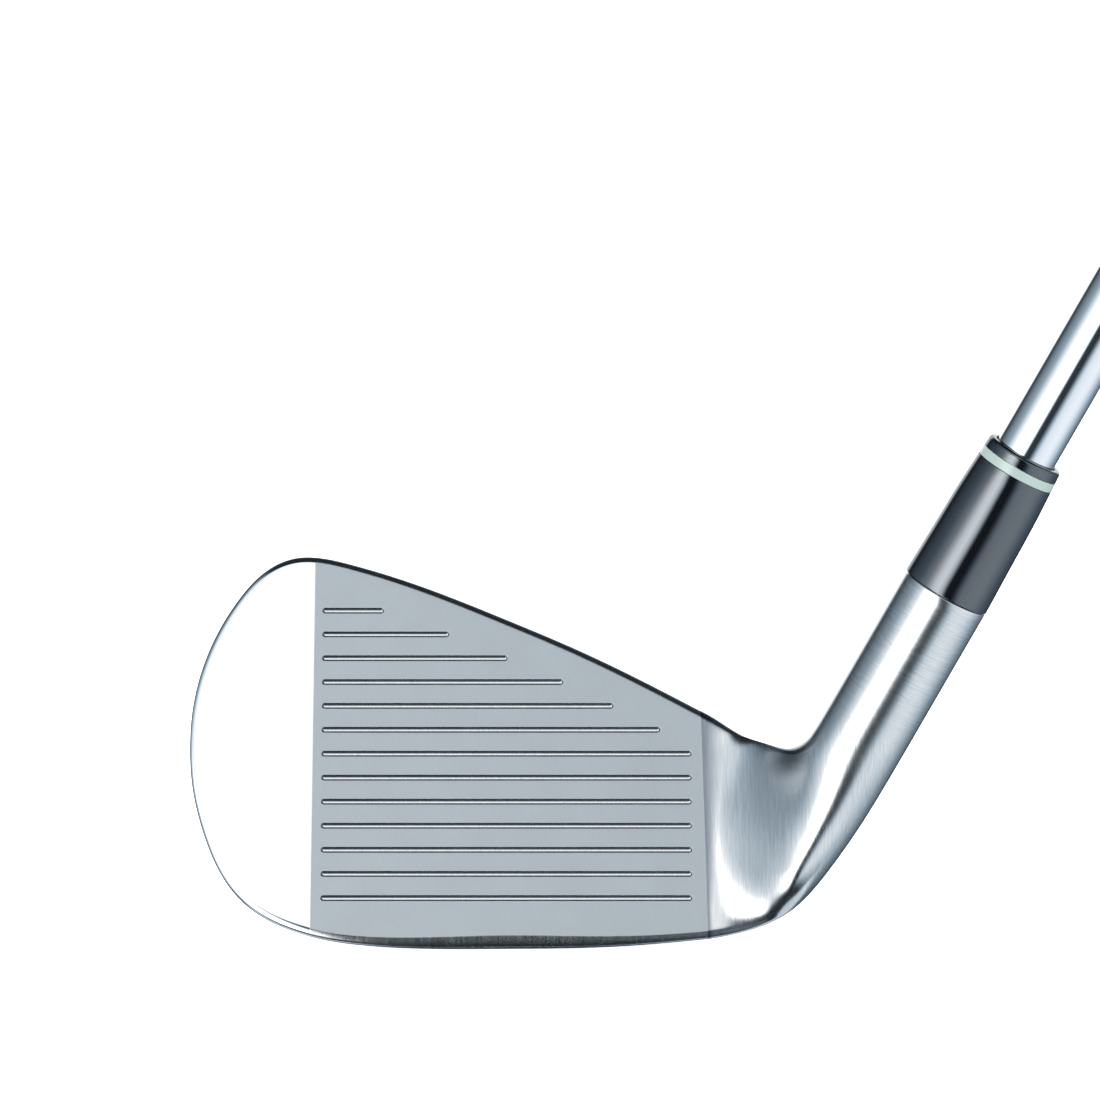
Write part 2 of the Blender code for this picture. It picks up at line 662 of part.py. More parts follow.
def make_grip(parent):
    """Tape, rubber sleeve and end cap with its vent hole."""
    tape_inner = SHAFT_BUTT_RADIUS + FIT_GAP
    tape = tube(tape_inner, TAPE_START, SHAFT_END - TAPE_SETBACK, tape_inner + TAPE_THICKNESS)
    new_object("grip_tape", turned_mesh("grip_tape", tape, SHAFT_SIDES, True), TAPE, parent)
    grip_end = CLUB_END - CAP_HEIGHT - FIT_GAP
    stops = [GRIP_MOUTH + MOUTH_CHAMFER] + list(np.linspace(GRIP_MOUTH + MOUTH_STRAIGHT, grip_end, GRIP_ROWS))
    outer = [(GRIP_MOUTH_RADIUS - MOUTH_CHAMFER, GRIP_MOUTH)] + [(grip_radius(stop), stop) for stop in stops]
    sleeve = [(GRIP_CORE_RADIUS, GRIP_MOUTH)] + outer + [(GRIP_CORE_RADIUS, grip_end)]
    new_object("grip", turned_mesh("grip", sleeve, GRIP_SIDES, True), RUBBER, parent)
    start = CLUB_END - CAP_HEIGHT
    cap = [(VENT_RADIUS, start), (GRIP_BUTT_RADIUS, start), (CAP_RADIUS, start + CAP_FLARE)]
    cap += [(CAP_RADIUS - inset, CLUB_END - drop) for inset, drop in CAP_EDGE]
    cap += [(VENT_RADIUS, CLUB_END)]
    new_object("grip_end_cap", turned_mesh("grip_end_cap", cap, GRIP_SIDES, True), RUBBER, parent)


def add_cutter(piece, mesh):
    """Cut a hidden mesh, laid out like the piece, out of it."""
    cutter = bpy.data.objects.new(mesh.name + "_guide", mesh)
    bpy.context.scene.collection.objects.link(cutter)
    cutter.parent = piece.parent
    cutter.hide_render = True
    cutter.display_type = "WIRE"
    cut = piece.modifiers.new(mesh.name, "BOOLEAN")
    cut.operation = "DIFFERENCE"
    cut.solver = "EXACT"
    cut.object = cutter


def make_head(parent):
    """The forged head, with the hosel bored for the shaft and the score lines cut."""
    head = new_object("head", head_mesh(), STEEL, parent)
    mouth = HOSEL_TOP + CUTTER_REACH
    bore = [(0.0, BORE_BOTTOM), (BORE_RADIUS, BORE_BOTTOM), (BORE_RADIUS, mouth), (0.0, mouth)]
    add_cutter(head, turned_mesh("bore_cutter", bore, BORE_SIDES, False))
    add_cutter(head, groove_cutter())


def main():
    """Build the club."""
    clear_scene()
    club = bpy.data.objects.new("club", None)
    bpy.context.scene.collection.objects.link(club)
    club.location = Vector(axis_point(HOLD_RUN)) * -MM
    make_head(club)
    make_ferrule(club)
    make_shaft(club)
    make_grip(club)


if __name__ == "__main__":
    main()
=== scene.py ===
"""Iron golf club: fine surfaces, finishes and a plain studio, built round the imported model."""
import json
import math

import bpy
import numpy as np
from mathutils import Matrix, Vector, geometry


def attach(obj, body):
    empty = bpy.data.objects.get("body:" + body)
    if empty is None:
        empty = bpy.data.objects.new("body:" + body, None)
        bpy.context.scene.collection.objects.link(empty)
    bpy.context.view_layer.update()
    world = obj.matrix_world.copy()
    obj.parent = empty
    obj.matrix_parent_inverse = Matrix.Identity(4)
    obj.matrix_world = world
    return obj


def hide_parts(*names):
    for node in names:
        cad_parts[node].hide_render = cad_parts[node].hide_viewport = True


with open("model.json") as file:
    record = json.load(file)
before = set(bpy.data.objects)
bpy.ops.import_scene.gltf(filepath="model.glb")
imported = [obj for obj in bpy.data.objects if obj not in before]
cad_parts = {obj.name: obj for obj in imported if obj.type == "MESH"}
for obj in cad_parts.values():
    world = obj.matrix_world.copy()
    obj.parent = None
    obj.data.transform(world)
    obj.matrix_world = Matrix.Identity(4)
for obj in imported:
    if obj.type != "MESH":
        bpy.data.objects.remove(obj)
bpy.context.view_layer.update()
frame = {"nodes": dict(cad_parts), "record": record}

bl_info = {
    "name": "Iron golf club",
    "version": (1, 0, 0),
    "blender": (4, 5, 0),
    "location": "3D View > Sidebar > Club",
    "description": "Builds the club's head, ferrule, shaft and grip as fine surfaces in a plain studio",
    "category": "Object",
}

MOUNTS = {mount["name"]: mount for mount in frame["record"]["mounts"]}
FACE_NORMAL = np.array(MOUNTS["strike_face"]["axis"], float)
SHAFT_AXIS = np.array(MOUNTS["grip_hold"]["axis"], float)
STRIKE_POINT = np.array(MOUNTS["strike_face"]["pos_m"], float)
MM = 0.001
UP = np.array([0.0, 0.0, 1.0])
BACK = np.array([0.0, 1.0, 0.0])
ACROSS = np.array([1.0, 0.0, 0.0])

# Frame of the head: millimetres from the lowest point of the sole
LOFT = math.asin(FACE_NORMAL[2])
LIE = math.atan2(SHAFT_AXIS[2], SHAFT_AXIS[0])
FACE_Y = -11.0
AXIS_X = 34.1
AXIS_Y = -6.75
STRIKE_HEIGHT = 29.85
FACE_UP = np.array([0.0, math.sin(LOFT), math.cos(LOFT)])
FACE_FOOT = np.array([0.0, FACE_Y, 0.0])
SIDE = np.array([-math.sin(LIE), 0.0, math.cos(LIE)])
ALONG_SHAFT = np.array([math.cos(LIE), 0.0, math.sin(LIE)])
SHIFT = STRIKE_POINT / MM - FACE_FOOT - FACE_UP * STRIKE_HEIGHT

# Outline of the face on its own plane: across (toe is negative) and up the face
OUTLINE = np.array((
    (30.0, 37.7), (18.1, 44.0), (9.0, 48.4), (0.0, 52.3), (-9.2, 56.1), (-18.3, 59.4), (-24.0, 61.1),
    (-29.0, 62.2), (-32.5, 62.2), (-36.5, 60.6), (-41.0, 56.0), (-44.4, 50.4), (-46.7, 44.7),
    (-48.1, 38.3), (-48.4, 32.3), (-47.9, 26.1), (-46.4, 19.9), (-42.9, 12.1), (-38.3, 7.3),
    (-33.8, 4.8), (-29.2, 3.3), (-22.5, 2.2), (-11.2, 1.6), (0.0, 1.6), (9.0, 1.7), (18.0, 2.1),
    (30.0, 3.2),
))

# Rim along the outline: share of its length, inset of the flat face, front edge radius, direction at its
# end, width and turn of the topline or sole, back edge radius, direction of the back. Directions are in
# degrees, from outward in the face plane (0) towards straight back (90) and inward (180).
RIM = np.array((
    (0.00, 1.15, 1.45, 90.0, 2.9, 1.0, 1.3, 182.0),
    (0.16, 1.15, 1.45, 90.0, 2.7, 1.0, 1.3, 182.0),
    (0.33, 1.10, 1.40, 90.0, 2.9, 1.0, 1.3, 182.0),
    (0.40, 0.85, 1.00, 90.0, 4.2, 1.0, 1.3, 184.0),
    (0.515, 0.70, 0.70, 90.0, 5.6, 2.0, 1.4, 186.0),
    (0.62, 0.90, 0.80, 93.0, 8.5, 8.0, 1.5, 190.0),
    (0.70, 1.50, 1.17, 99.0, 13.0, 17.0, 1.6, 196.0),
    (0.85, 2.40, 1.88, 104.0, 16.0, 24.0, 1.6, 200.0),
    (1.00, 1.45, 1.15, 101.0, 14.0, 20.0, 1.6, 196.0),
))
EDGE_STEPS = 9
RIM_STEPS = 12
BACK_EDGE_STEPS = 7
BACK_STEPS = 20
BACK_PULL_EDGE = 0.32
BACK_PULL_MIDDLE = 0.38
HEEL_STATION = 30.0
TOE_STATION = -30.0
MIDDLE_TOE = 31.0
MIDDLE_HEEL = 19.0
BACK_DEPTH = 4.6
BACK_SLOPE = -0.05
BLADE_STEPS = 70
TOE_STEPS = 110
FRONT_STEPS = 72

# Heel: upper and lower outline on their way from the face plane to the hosel
HEEL_UPPER = np.array((
    (32.7, 4.9, 32.5), (35.4, 4.1, 31.2), (38.1, 2.2, 30.5), (40.4, -1.2, 30.5), (42.2, -3.6, 30.9),
    (43.9, -5.4, 32.3),
))
HEEL_LOWER = np.array((
    (34.2, -9.4, 3.6), (38.6, -9.0, 4.9), (42.8, -8.5, 7.4), (46.5, -8.0, 11.3), (49.8, -7.5, 15.7),
    (53.5, -7.1, 21.3),
))
HEEL_STEPS = 120
RELAX_REACH = 5.0
CREST_START = 2.2
CREST_GROWTH = 0.9
CREST_REACH = 0.5
HOLLOW_RANGE = 0.7
HOLLOW_SHARE = 0.35
HOSEL_START = 36.4
HOSEL_TOP = 63.7
HOSEL_CHAMFER = 0.3
HOSEL_STEPS = 24
BORE_BOTTOM = 31.0

# Score lines
GROOVE_LOWEST = 9.5
GROOVE_PITCH = 3.7
GROOVE_LEFT = -28.5
GROOVE_RIGHT = 28.0
GROOVE_EDGE_GAP = 5.5
GROOVE_SHOULDER = 0.05
GROOVE_FLOOR_SHARE = 0.5
GROOVE_END_STEPS = 13

# Painted shade in the steel's colour: near the corner, in a band beside the hitting zone, and on the score
# line walls. The corner lies between the top edge and the hosel, across the face and up it.
CORNER = (41.9, 29.2)
CORNER_REACH = 4.0
CORNER_SHADE_SHARE = 0.85
CORNER_PAINTED_SHADE = (0.035, 0.05, 0.07, 1.0)
BESIDE_ZONE_SHADE_SHARE = 0.78
BESIDE_ZONE_PAINTED_SHADE = (0.09, 0.13, 0.18, 1.0)
GROOVE_WALL_PAINTED_SHADE = (0.15, 0.17, 0.19, 1.0)

# Blasted hitting zone on the face plane: across at the ground line, and its lean per millimetre of height
ZONE_LEFT = -30.03
ZONE_LEFT_LEAN = 0.0066
ZONE_RIGHT = 29.86
ZONE_RIGHT_LEAN = -0.0286

# Ferrule, shaft and grip: along the shaft axis from the ground
FIT_GAP = 0.05
FERRULE_START = HOSEL_TOP + FIT_GAP
FERRULE_RADII = (6.8, 6.68, 6.56, 6.45, 6.22, 5.92)
SHAFT_TIP = 31.6
SHAFT_BUTT_RADIUS = 7.62
SHAFT_FIRST_STEP = 300.0
SHAFT_STEP_PITCH = 34.0
SHAFT_STEP_BLEND = 1.6
SHAFT_END = 947.0
SHAFT_WALL = 0.46
BAND_START = 652.0
BAND_LENGTH = 22.0
BAND_THICKNESS = 0.25
GRIP_MOUTH = 684.0
GRIP_MOUTH_RADIUS = 9.6
GRIP_BUTT_RADIUS = 13.1
GRIP_CORE_RADIUS = 8.1
GRIP_ROWS = 540
GRIP_SIDES = 144
MOUTH_ROUNDING = 1.2
SLOT_PITCH = 7.0
SLOTS_ROUND = 16.0  # slots in one row
SLOT_RADIUS = 11.5  # radius at which the gap between slots is worked out
CLUB_END = 952.5
CAP_RADIUS = 14.2
CAP_HEIGHT = 5.0
VENT_RADIUS = 2.0
WELD = 0.0005

# Studio: floor, lamp and camera, in millimetres of the head's layout unless it says otherwise
FLOOR_REACH = 20000.0
FLOOR_POINTS = 5     # along each side
FLOOR_DROP = 0.4
LAMP_SIZE = 1.6      # metres
LAMP_POWER = 40.0    # watts
LAMP_PLACE = (-1300.0, -1500.0, 2100.0)
LAMP_AIM = (100.0, 0.0, 200.0)
CAMERA_TARGET = (6.0, 2.5, 60.0)
CAMERA_SENSOR = 36.0  # width of the sensor

# Studio light seen in reflections, by azimuth in degrees: 0 towards -Y, positive towards +X
LEVEL_LIGHT = (
    (-180.0, 0.02), (-152.0, 0.03), (-134.0, 0.05), (-110.0, 0.26), (-88.0, 0.46), (-72.0, 0.85),
    (-61.0, 1.1), (-51.0, 2.0), (-40.0, 3.5), (-29.0, 4.0), (-20.0, 2.6), (-14.0, 0.8), (-10.0, 0.03),
    (3.0, 0.015), (9.0, 0.15), (15.0, 0.54), (23.0, 0.88), (38.0, 0.98), (60.0, 1.03), (80.0, 0.95),
    (98.0, 0.72), (122.0, 0.36), (150.0, 0.13), (166.0, 0.05), (180.0, 0.02),
)
HIGH_LIGHT = (
    (-180.0, 0.03), (-130.0, 0.03), (-116.0, 0.06), (-104.0, 0.2), (-88.0, 0.35), (-65.0, 0.58),
    (-50.0, 0.9), (-20.0, 1.0), (-6.0, 1.15), (4.0, 1.25), (12.0, 0.6), (26.0, 0.12), (180.0, 0.03),
)


# ---------------------------------------------------------------- settings

def length_setting(name, description, default):
    """A length setting in metres."""
    return bpy.props.FloatProperty(
        name=name, description=description, default=default, precision=5, unit="LENGTH")


def colour_setting(name, description, default):
    """A colour setting."""
    return bpy.props.FloatVectorProperty(
        name=name, description=description, default=default, subtype="COLOR", min=0.0, max=1.0)


def count_setting(name, description, default):
    """A whole number of like features."""
    return bpy.props.IntProperty(name=name, description=description, default=default, min=1)


def amount_setting(name, description, default):
    """A strength of light."""
    return bpy.props.FloatProperty(name=name, description=description, default=default)


class HeadSettings(bpy.types.PropertyGroup):
    """Sizes and colours of the forged head."""
    hosel_radius: length_setting("Hosel radius", "Outer radius of the hosel", 6.75 * MM)
    bore_radius: length_setting("Bore radius", "Radius of the hole for the shaft", 5.05 * MM)
    groove_count: count_setting("Score lines", "Number of score lines on the face", 13)
    groove_width: length_setting("Score line width", "Width of one score line at the face", 0.84 * MM)
    groove_depth: length_setting("Score line depth", "Depth of one score line", 0.36 * MM)
    polished: colour_setting("Polished steel", "Colour of the mirror finish", (0.9, 0.905, 0.91))
    blasted: colour_setting("Blasted steel", "Colour of the hitting zone", (0.565, 0.595, 0.615))
    brushed: colour_setting("Brushed steel", "Colour of heel, hosel and back", (0.74, 0.745, 0.75))


class FerruleSettings(bpy.types.PropertyGroup):
    """Sizes and colours of the ferrule."""
    bore_radius: length_setting("Bore radius", "Radius of the hole for the shaft", 4.95 * MM)
    ring_length: length_setting("Trim ring", "Length of the pale trim ring", 1.45 * MM)
    cap_length: length_setting("Cap", "Length of the cap above the ring", 1.75 * MM)
    whole_length: length_setting("Length", "Length of the whole ferrule", 23.9 * MM)
    black: colour_setting("Black", "Colour of barrel and cap", (0.0015, 0.0015, 0.002))
    trim: colour_setting("Trim", "Colour of the trim ring", (0.23, 0.30, 0.28))


class ShaftSettings(bpy.types.PropertyGroup):
    """Sizes and colours of the shaft."""
    tip_radius: length_setting("Tip radius", "Outer radius of the parallel tip", 4.7 * MM)
    step_count: count_setting("Steps", "Number of steps up the shaft", 12)
    chrome: colour_setting("Chrome", "Colour of the plating", (0.88, 0.89, 0.905))
    band: colour_setting("Band", "Colour of the band below the grip", (0.16, 0.18, 0.21))


class GripSettings(bpy.types.PropertyGroup):
    """Pattern and colour of the grip."""
    pattern_depth: length_setting("Pattern depth", "Depth of the moulded pattern", 0.35 * MM)
    rubber: colour_setting("Rubber", "Colour of the grip", (0.022, 0.022, 0.024))


class StudioSettings(bpy.types.PropertyGroup):
    """Camera, floor and soft light."""
    camera_distance: length_setting("Camera distance", "From the camera to the head", 1.1)
    camera_elevation: bpy.props.FloatProperty(
        name="Camera elevation", description="Angle of the camera above level",
        default=math.radians(12.0), subtype="ANGLE")
    view_width: length_setting("View width", "Width seen at the head", 0.165)
    floor: colour_setting("Floor", "Colour of the floor", (0.9, 0.9, 0.9))
    ambient: amount_setting("Ambient", "Even light on matt surfaces and the floor", 1.5)
    floor_glow: amount_setting("Floor glow", "Light given off by the floor, as on a light table", 0.9)


# ---------------------------------------------------------------- shader expressions

class Signal:
    """A shader socket that adds Math nodes when it is used in an expression."""

    def __init__(self, finish, socket):
        self.finish = finish
        self.socket = socket

    def math(self, operation, *values):
        """Apply a Math node to this signal and further values."""
        inputs = dict(enumerate((self, *values)))
        return self.finish.node("ShaderNodeMath", {"operation": operation}, inputs).signal()

    def __add__(self, other):
        return self.math("ADD", other)

    __radd__ = __add__

    def __sub__(self, other):
        return self.math("SUBTRACT", other)

    def __rsub__(self, other):
        return (self * -1.0) + other

    def __mul__(self, other):
        return self.math("MULTIPLY", other)

    __rmul__ = __mul__

    def __truediv__(self, other):
        return self.math("DIVIDE", other)

    def ease(self, low, high):
        """Smooth step from 0 at low to 1 at high."""
        settings = {"interpolation_type": "SMOOTHSTEP", "data_type": "FLOAT"}
        return self.finish.node("ShaderNodeMapRange", settings, {0: self, 1: low, 2: high}).signal()

    def between(self, low, high, soft):
        """1 inside a range, with soft edges centred on its limits."""
        rise = self.ease(low - soft / 2.0, low + soft / 2.0)
        fall = self.ease(high - soft / 2.0, high + soft / 2.0)
        return rise * (1.0 - fall)


class MadeNode:
    """A node with a short way to its outputs."""

    def __init__(self, finish, node):
        self.finish = finish
        self.node = node

    def signal(self, output=0):
        """One output as a signal."""
        return Signal(self.finish, self.node.outputs[output])


class Finish:
    """A node tree that is written as expressions."""

    def __init__(self, tree):
        self.tree = tree
        self.tree.nodes.clear()

    def node(self, kind, settings, inputs):
        """Make any node: its type, its settings and the values or links of its sockets."""
        node = self.tree.nodes.new(kind)
        for name, value in settings.items():
            setattr(node, name, value)
        for key, value in inputs.items():
            if isinstance(value, Signal):
                self.tree.links.new(value.socket, node.inputs[key])
            else:
                node.inputs[key].default_value = value
        return MadeNode(self, node)

    def mix(self, factor, first, second):
        """Mix two colours."""
        settings = {"data_type": "RGBA", "blend_type": "MIX"}
        return self.node("ShaderNodeMix", settings, {0: factor, 6: first, 7: second}).signal(2)

    def ramp(self, factor, stops):
        """Colour ramp from (place, colour) stops."""
        made = self.node("ShaderNodeValToRGB", {}, {0: factor})
        elements = made.node.color_ramp.elements
        for index, (place, colour) in enumerate(stops):
            element = elements[index] if index < 2 else elements.new(place)
            element.position = place
            element.color = colour
        return made.signal()

    def levels(self, angle, stops):
        """Light level read from (degrees, level) stops between -180 and 180."""
        top = max(level for _, level in stops)
        greys = [((degrees + 180.0) / 360.0, (level / top,) * 3 + (1.0,)) for degrees, level in stops]
        return self.ramp((angle + 180.0) / 360.0, greys) * top

    def dot(self, vector, direction):
        """Dot product of a vector signal with a fixed direction."""
        made = self.node("ShaderNodeVectorMath", {"operation": "DOT_PRODUCT"},
                         {0: vector, 1: tuple(direction)})
        return made.signal(1)

    def place(self):
        """Object coordinates."""
        return self.node("ShaderNodeTexCoord", {}, {}).signal(3)

    def noise(self, vector, scale, detail=2.0, roughness=0.5):
        """Noise value in the given coordinates."""
        inputs = {"Vector": vector, "Scale": scale, "Detail": detail, "Roughness": roughness}
        return self.node("ShaderNodeTexNoise", {}, inputs).signal(0)

    def vector(self, x, y, z):
        """Vector from three signals or numbers."""
        return self.node("ShaderNodeCombineXYZ", {}, {0: x, 1: y, 2: z}).signal()

    def bump(self, height, strength, distance):
        """Normal bent by a height signal."""
        inputs = {"Strength": strength, "Distance": distance, "Height": height}
        return self.node("ShaderNodeBump", {}, inputs).signal()

    def surface(self, inputs):
        """Principled surface joined to the output."""
        shader = self.node("ShaderNodeBsdfPrincipled", {}, inputs)
        self.node("ShaderNodeOutputMaterial", {}, {0: shader.signal()})


def new_finish(name):
    """An empty material and its expression tree."""
    material = bpy.data.materials.new(name)
    material.use_nodes = True
    return material, Finish(material.node_tree)


def rgba(colour):
    """Colour with full alpha."""
    return (*colour[:3], 1.0)


def club_coordinates(finish):
    """Signals in millimetres: along the shaft from the ground, and two directions across it."""
    place = finish.place()
    foot = layout_to_frame(axis_point(0.0))
    run = (finish.dot(place, SHAFT_AXIS) - float(foot @ SHAFT_AXIS)) / MM
    side = (finish.dot(place, SIDE) - float(foot @ SIDE)) / MM
    back = (finish.dot(place, BACK) - float(foot @ BACK)) / MM
    return run, side, back


# ---------------------------------------------------------------- surface tools

def layout_to_frame(points):
    """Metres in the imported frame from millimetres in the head's layout."""
    return (np.asarray(points, float) + SHIFT) * MM


def grid_quads(rows, columns, first=0, close_columns=False):
    """Corner indices of the quads of a rows by columns grid, wrapped round where it closes."""
    row = np.arange(rows - 1)[:, None]
    column = np.arange(columns if close_columns else columns - 1)[None, :]
    after = (column + 1) % columns
    corners = (row * columns + column, row * columns + after,
               (row + 1) * columns + after, (row + 1) * columns + column)
    return np.stack([corner + row * 0 for corner in corners], axis=-1).reshape(-1, 4) + first


def welded(points, faces):
    """Merge points that share a place, and reduce each quad that loses a corner to a triangle."""
    keys = np.round(points / WELD).astype(np.int64)
    _, kept, merged = np.unique(keys, axis=0, return_index=True, return_inverse=True)
    points = points[kept]
    merged = merged.reshape(-1)
    loops = []
    for group in faces:
        group = merged[group]
        same = group == np.roll(group, -1, axis=1)
        whole = same.sum(axis=1) == 0
        loops.append(group[whole])
        if group.shape[1] == 4:
            short = same.sum(axis=1) == 1
            loops.append(group[short][~same[short]].reshape(-1, 3))
    return points, loops


def require_closed(name, loops):
    """Stop where an edge of a surface doesn't border exactly two faces."""
    sides = [np.stack((group, np.roll(group, -1, axis=1)), axis=-1).reshape(-1, 2) for group in loops]
    edges = np.sort(np.concatenate(sides), axis=1)
    uses = np.unique(edges, axis=0, return_counts=True)[1]
    if np.any(uses != 2):
        raise RuntimeError(f"the surface of {name} isn't closed")


def surface_object(name, points, faces, material, body="root", replaces=None, flat=None):
    """Object from millimetre points and index arrays, closed, facing out, riding on its body.

    flat marks points that lie on a true plane with its normal, so that rounded edges next to it
    don't shade the plane.
    """
    points, loops = welded(points, faces)
    require_closed(name, loops)
    mesh = bpy.data.meshes.new(name)
    sizes = np.concatenate([np.full(len(group), group.shape[1]) for group in loops])
    corners = np.concatenate([group.reshape(-1) for group in loops])
    mesh.vertices.add(len(points))
    mesh.vertices.foreach_set("co", layout_to_frame(points).astype(np.float32).reshape(-1))
    mesh.loops.add(len(corners))
    mesh.loops.foreach_set("vertex_index", corners.astype(np.int32))
    mesh.polygons.add(len(sizes))
    starts = np.concatenate(([0], np.cumsum(sizes)[:-1]))
    mesh.polygons.foreach_set("loop_start", starts.astype(np.int32))
    mesh.update(calc_edges=True)
    mesh.validate()
    mesh.shade_smooth()
    if flat is not None:
        normals = np.zeros(len(mesh.vertices) * 3, np.float32)
        mesh.vertex_normals.foreach_get("vector", normals)
        normals = normals.reshape(-1, 3)
        normals[flat(points)] = FACE_NORMAL
        mesh.normals_split_custom_set_from_vertices(normals.tolist())
    piece = bpy.data.objects.new(name, mesh)
    bpy.context.scene.collection.objects.link(piece)
    mesh.materials.append(material)
    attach(piece, body)
    if replaces:
        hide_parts(replaces)
    return piece


def natural_spline(knots, values, at):
    """Natural cubic spline through the rows of values, read at the places in at."""
    knots = np.asarray(knots, float)
    values = np.asarray(values, float)
    count = len(knots)
    gaps = np.diff(knots)
    slopes = np.diff(values, axis=0) / gaps[:, None]
    inner = np.arange(1, count - 1)
    system = np.eye(count)
    system[inner, inner - 1] = gaps[:-1]
    system[inner, inner] = 2.0 * (gaps[:-1] + gaps[1:])
    system[inner, inner + 1] = gaps[1:]
    right = np.zeros_like(values)
    right[1:-1] = 6.0 * (slopes[1:] - slopes[:-1])
    bend = np.linalg.solve(system, right)
    at = np.atleast_1d(np.asarray(at, float))
    cell = np.clip(np.searchsorted(knots, at) - 1, 0, count - 2)
    after = (at - knots[cell])[:, None]
    before = (knots[cell + 1] - at)[:, None]
    gap = gaps[cell][:, None]
    low = values[cell] - bend[cell] * gap ** 2 / 6.0
    high = values[cell + 1] - bend[cell + 1] * gap ** 2 / 6.0
    cubic = (bend[cell] * before ** 3 + bend[cell + 1] * after ** 3) / (6.0 * gap)
    return cubic + low * before / gap + high * after / gap


def smoothstep(value):
    """Ease from 0 to 1."""
    value = np.clip(value, 0.0, 1.0)
    return value * value * (3.0 - 2.0 * value)


def axis_point(run):
    """Point on the shaft axis at a distance from the ground along it."""
    return np.array([AXIS_X, AXIS_Y, 0.0]) + np.multiply.outer(run, ALONG_SHAFT)


def turned_surface(profile, sides, closed=True):
    """A (radius, run) profile carried round the shaft axis.

    Point(row, turn) = axis(run) + radius * (cos(turn) * side + sin(turn) * back), for turns evenly
    round the circle; a closed profile joins its last row to its first.
    """
    profile = np.asarray(profile, float)
    turn = np.linspace(0.0, 2.0 * math.pi, sides, endpoint=False)
    spokes = np.cos(turn)[:, None] * SIDE + np.sin(turn)[:, None] * BACK
    points = axis_point(profile[:, 1])[:, None, :] + profile[:, 0][:, None, None] * spokes[None]
    if closed:
        points = np.concatenate((points, points[:1]))
    return points.reshape(-1, 3), [grid_quads(len(points), sides, close_columns=True)[:, ::-1]]


def rounded_profile(corners, steps=5):
    """Profile through (radius, run, rounding) corners, each rounding a quadratic curve.

    Near a corner C with rounding r the curve runs from A to B, the points r before and after C,
    as (1 - t)^2 A + 2 t (1 - t) C + t^2 B.
    """
    corners = np.asarray(corners, float)
    before = np.roll(corners, 1, axis=0)
    after = np.roll(corners, -1, axis=0)
    share = np.linspace(0.0, 1.0, steps)[:, None]
    rows = []
    for last, corner, following in zip(before, corners, after):
        place = corner[:2]
        if corner[2] == 0.0:
            rows.append(place[None])
            continue
        start = place + (last[:2] - place) / np.linalg.norm(last[:2] - place) * corner[2]
        end = place + (following[:2] - place) / np.linalg.norm(following[:2] - place) * corner[2]
        rows.append((1 - share) ** 2 * start + 2 * share * (1 - share) * place + share ** 2 * end)
    return np.concatenate(rows)


# ---------------------------------------------------------------- head

OUTLINE_RUN = np.concatenate(([0.0], np.cumsum(np.linalg.norm(np.diff(OUTLINE, axis=0), axis=1))))
OUTLINE_STEP = 0.05


def outline_at(shares):
    """Points and outward directions of the face outline at shares of its length."""
    run = np.asarray(shares) * OUTLINE_RUN[-1]
    points = natural_spline(OUTLINE_RUN, OUTLINE, run)
    before = natural_spline(OUTLINE_RUN, OUTLINE, run - OUTLINE_STEP)
    along = natural_spline(OUTLINE_RUN, OUTLINE, run + OUTLINE_STEP) - before
    along = along / np.linalg.norm(along, axis=1)[:, None]
    return points, np.column_stack((along[:, 1], -along[:, 0]))


def rim_at(shares):
    """Rim measures at shares of the outline's length, eased between their stations."""
    shares = np.asarray(shares, float)
    cell = np.clip(np.searchsorted(RIM[:, 0], shares) - 1, 0, len(RIM) - 2)
    blend = smoothstep((shares - RIM[cell, 0]) / (RIM[cell + 1, 0] - RIM[cell, 0]))[:, None]
    return RIM[cell, 1:] * (1.0 - blend) + RIM[cell + 1, 1:] * blend


def outline_share(across, lower):
    """Shares of the outline's length where the topline or the lower edge stands at places across."""
    shares = np.linspace(0.6, 1.0, 2001) if lower else np.linspace(0.4, 0.0, 2001)
    places = natural_spline(OUTLINE_RUN, OUTLINE, shares * OUTLINE_RUN[-1])[:, 0]
    return np.interp(across, places, shares)


def arc_steps(heading, turn, length, steps):
    """Steps along arcs: each goes length / steps in the direction heading + turn * (step + 1/2) / steps."""
    middle = heading[:, None] + turn[:, None] * (np.arange(steps) + 0.5) / steps
    reach = (length / steps)[:, None]
    return np.stack((np.cos(middle) * reach, np.sin(middle) * reach), axis=-1)


def face_to_layout(points):
    """Layout millimetres from (across, up the face, depth behind it)."""
    points = np.asarray(points, float)
    return (FACE_FOOT + points[..., :1] * ACROSS + points[..., 1:2] * FACE_UP
            - points[..., 2:3] * FACE_NORMAL)


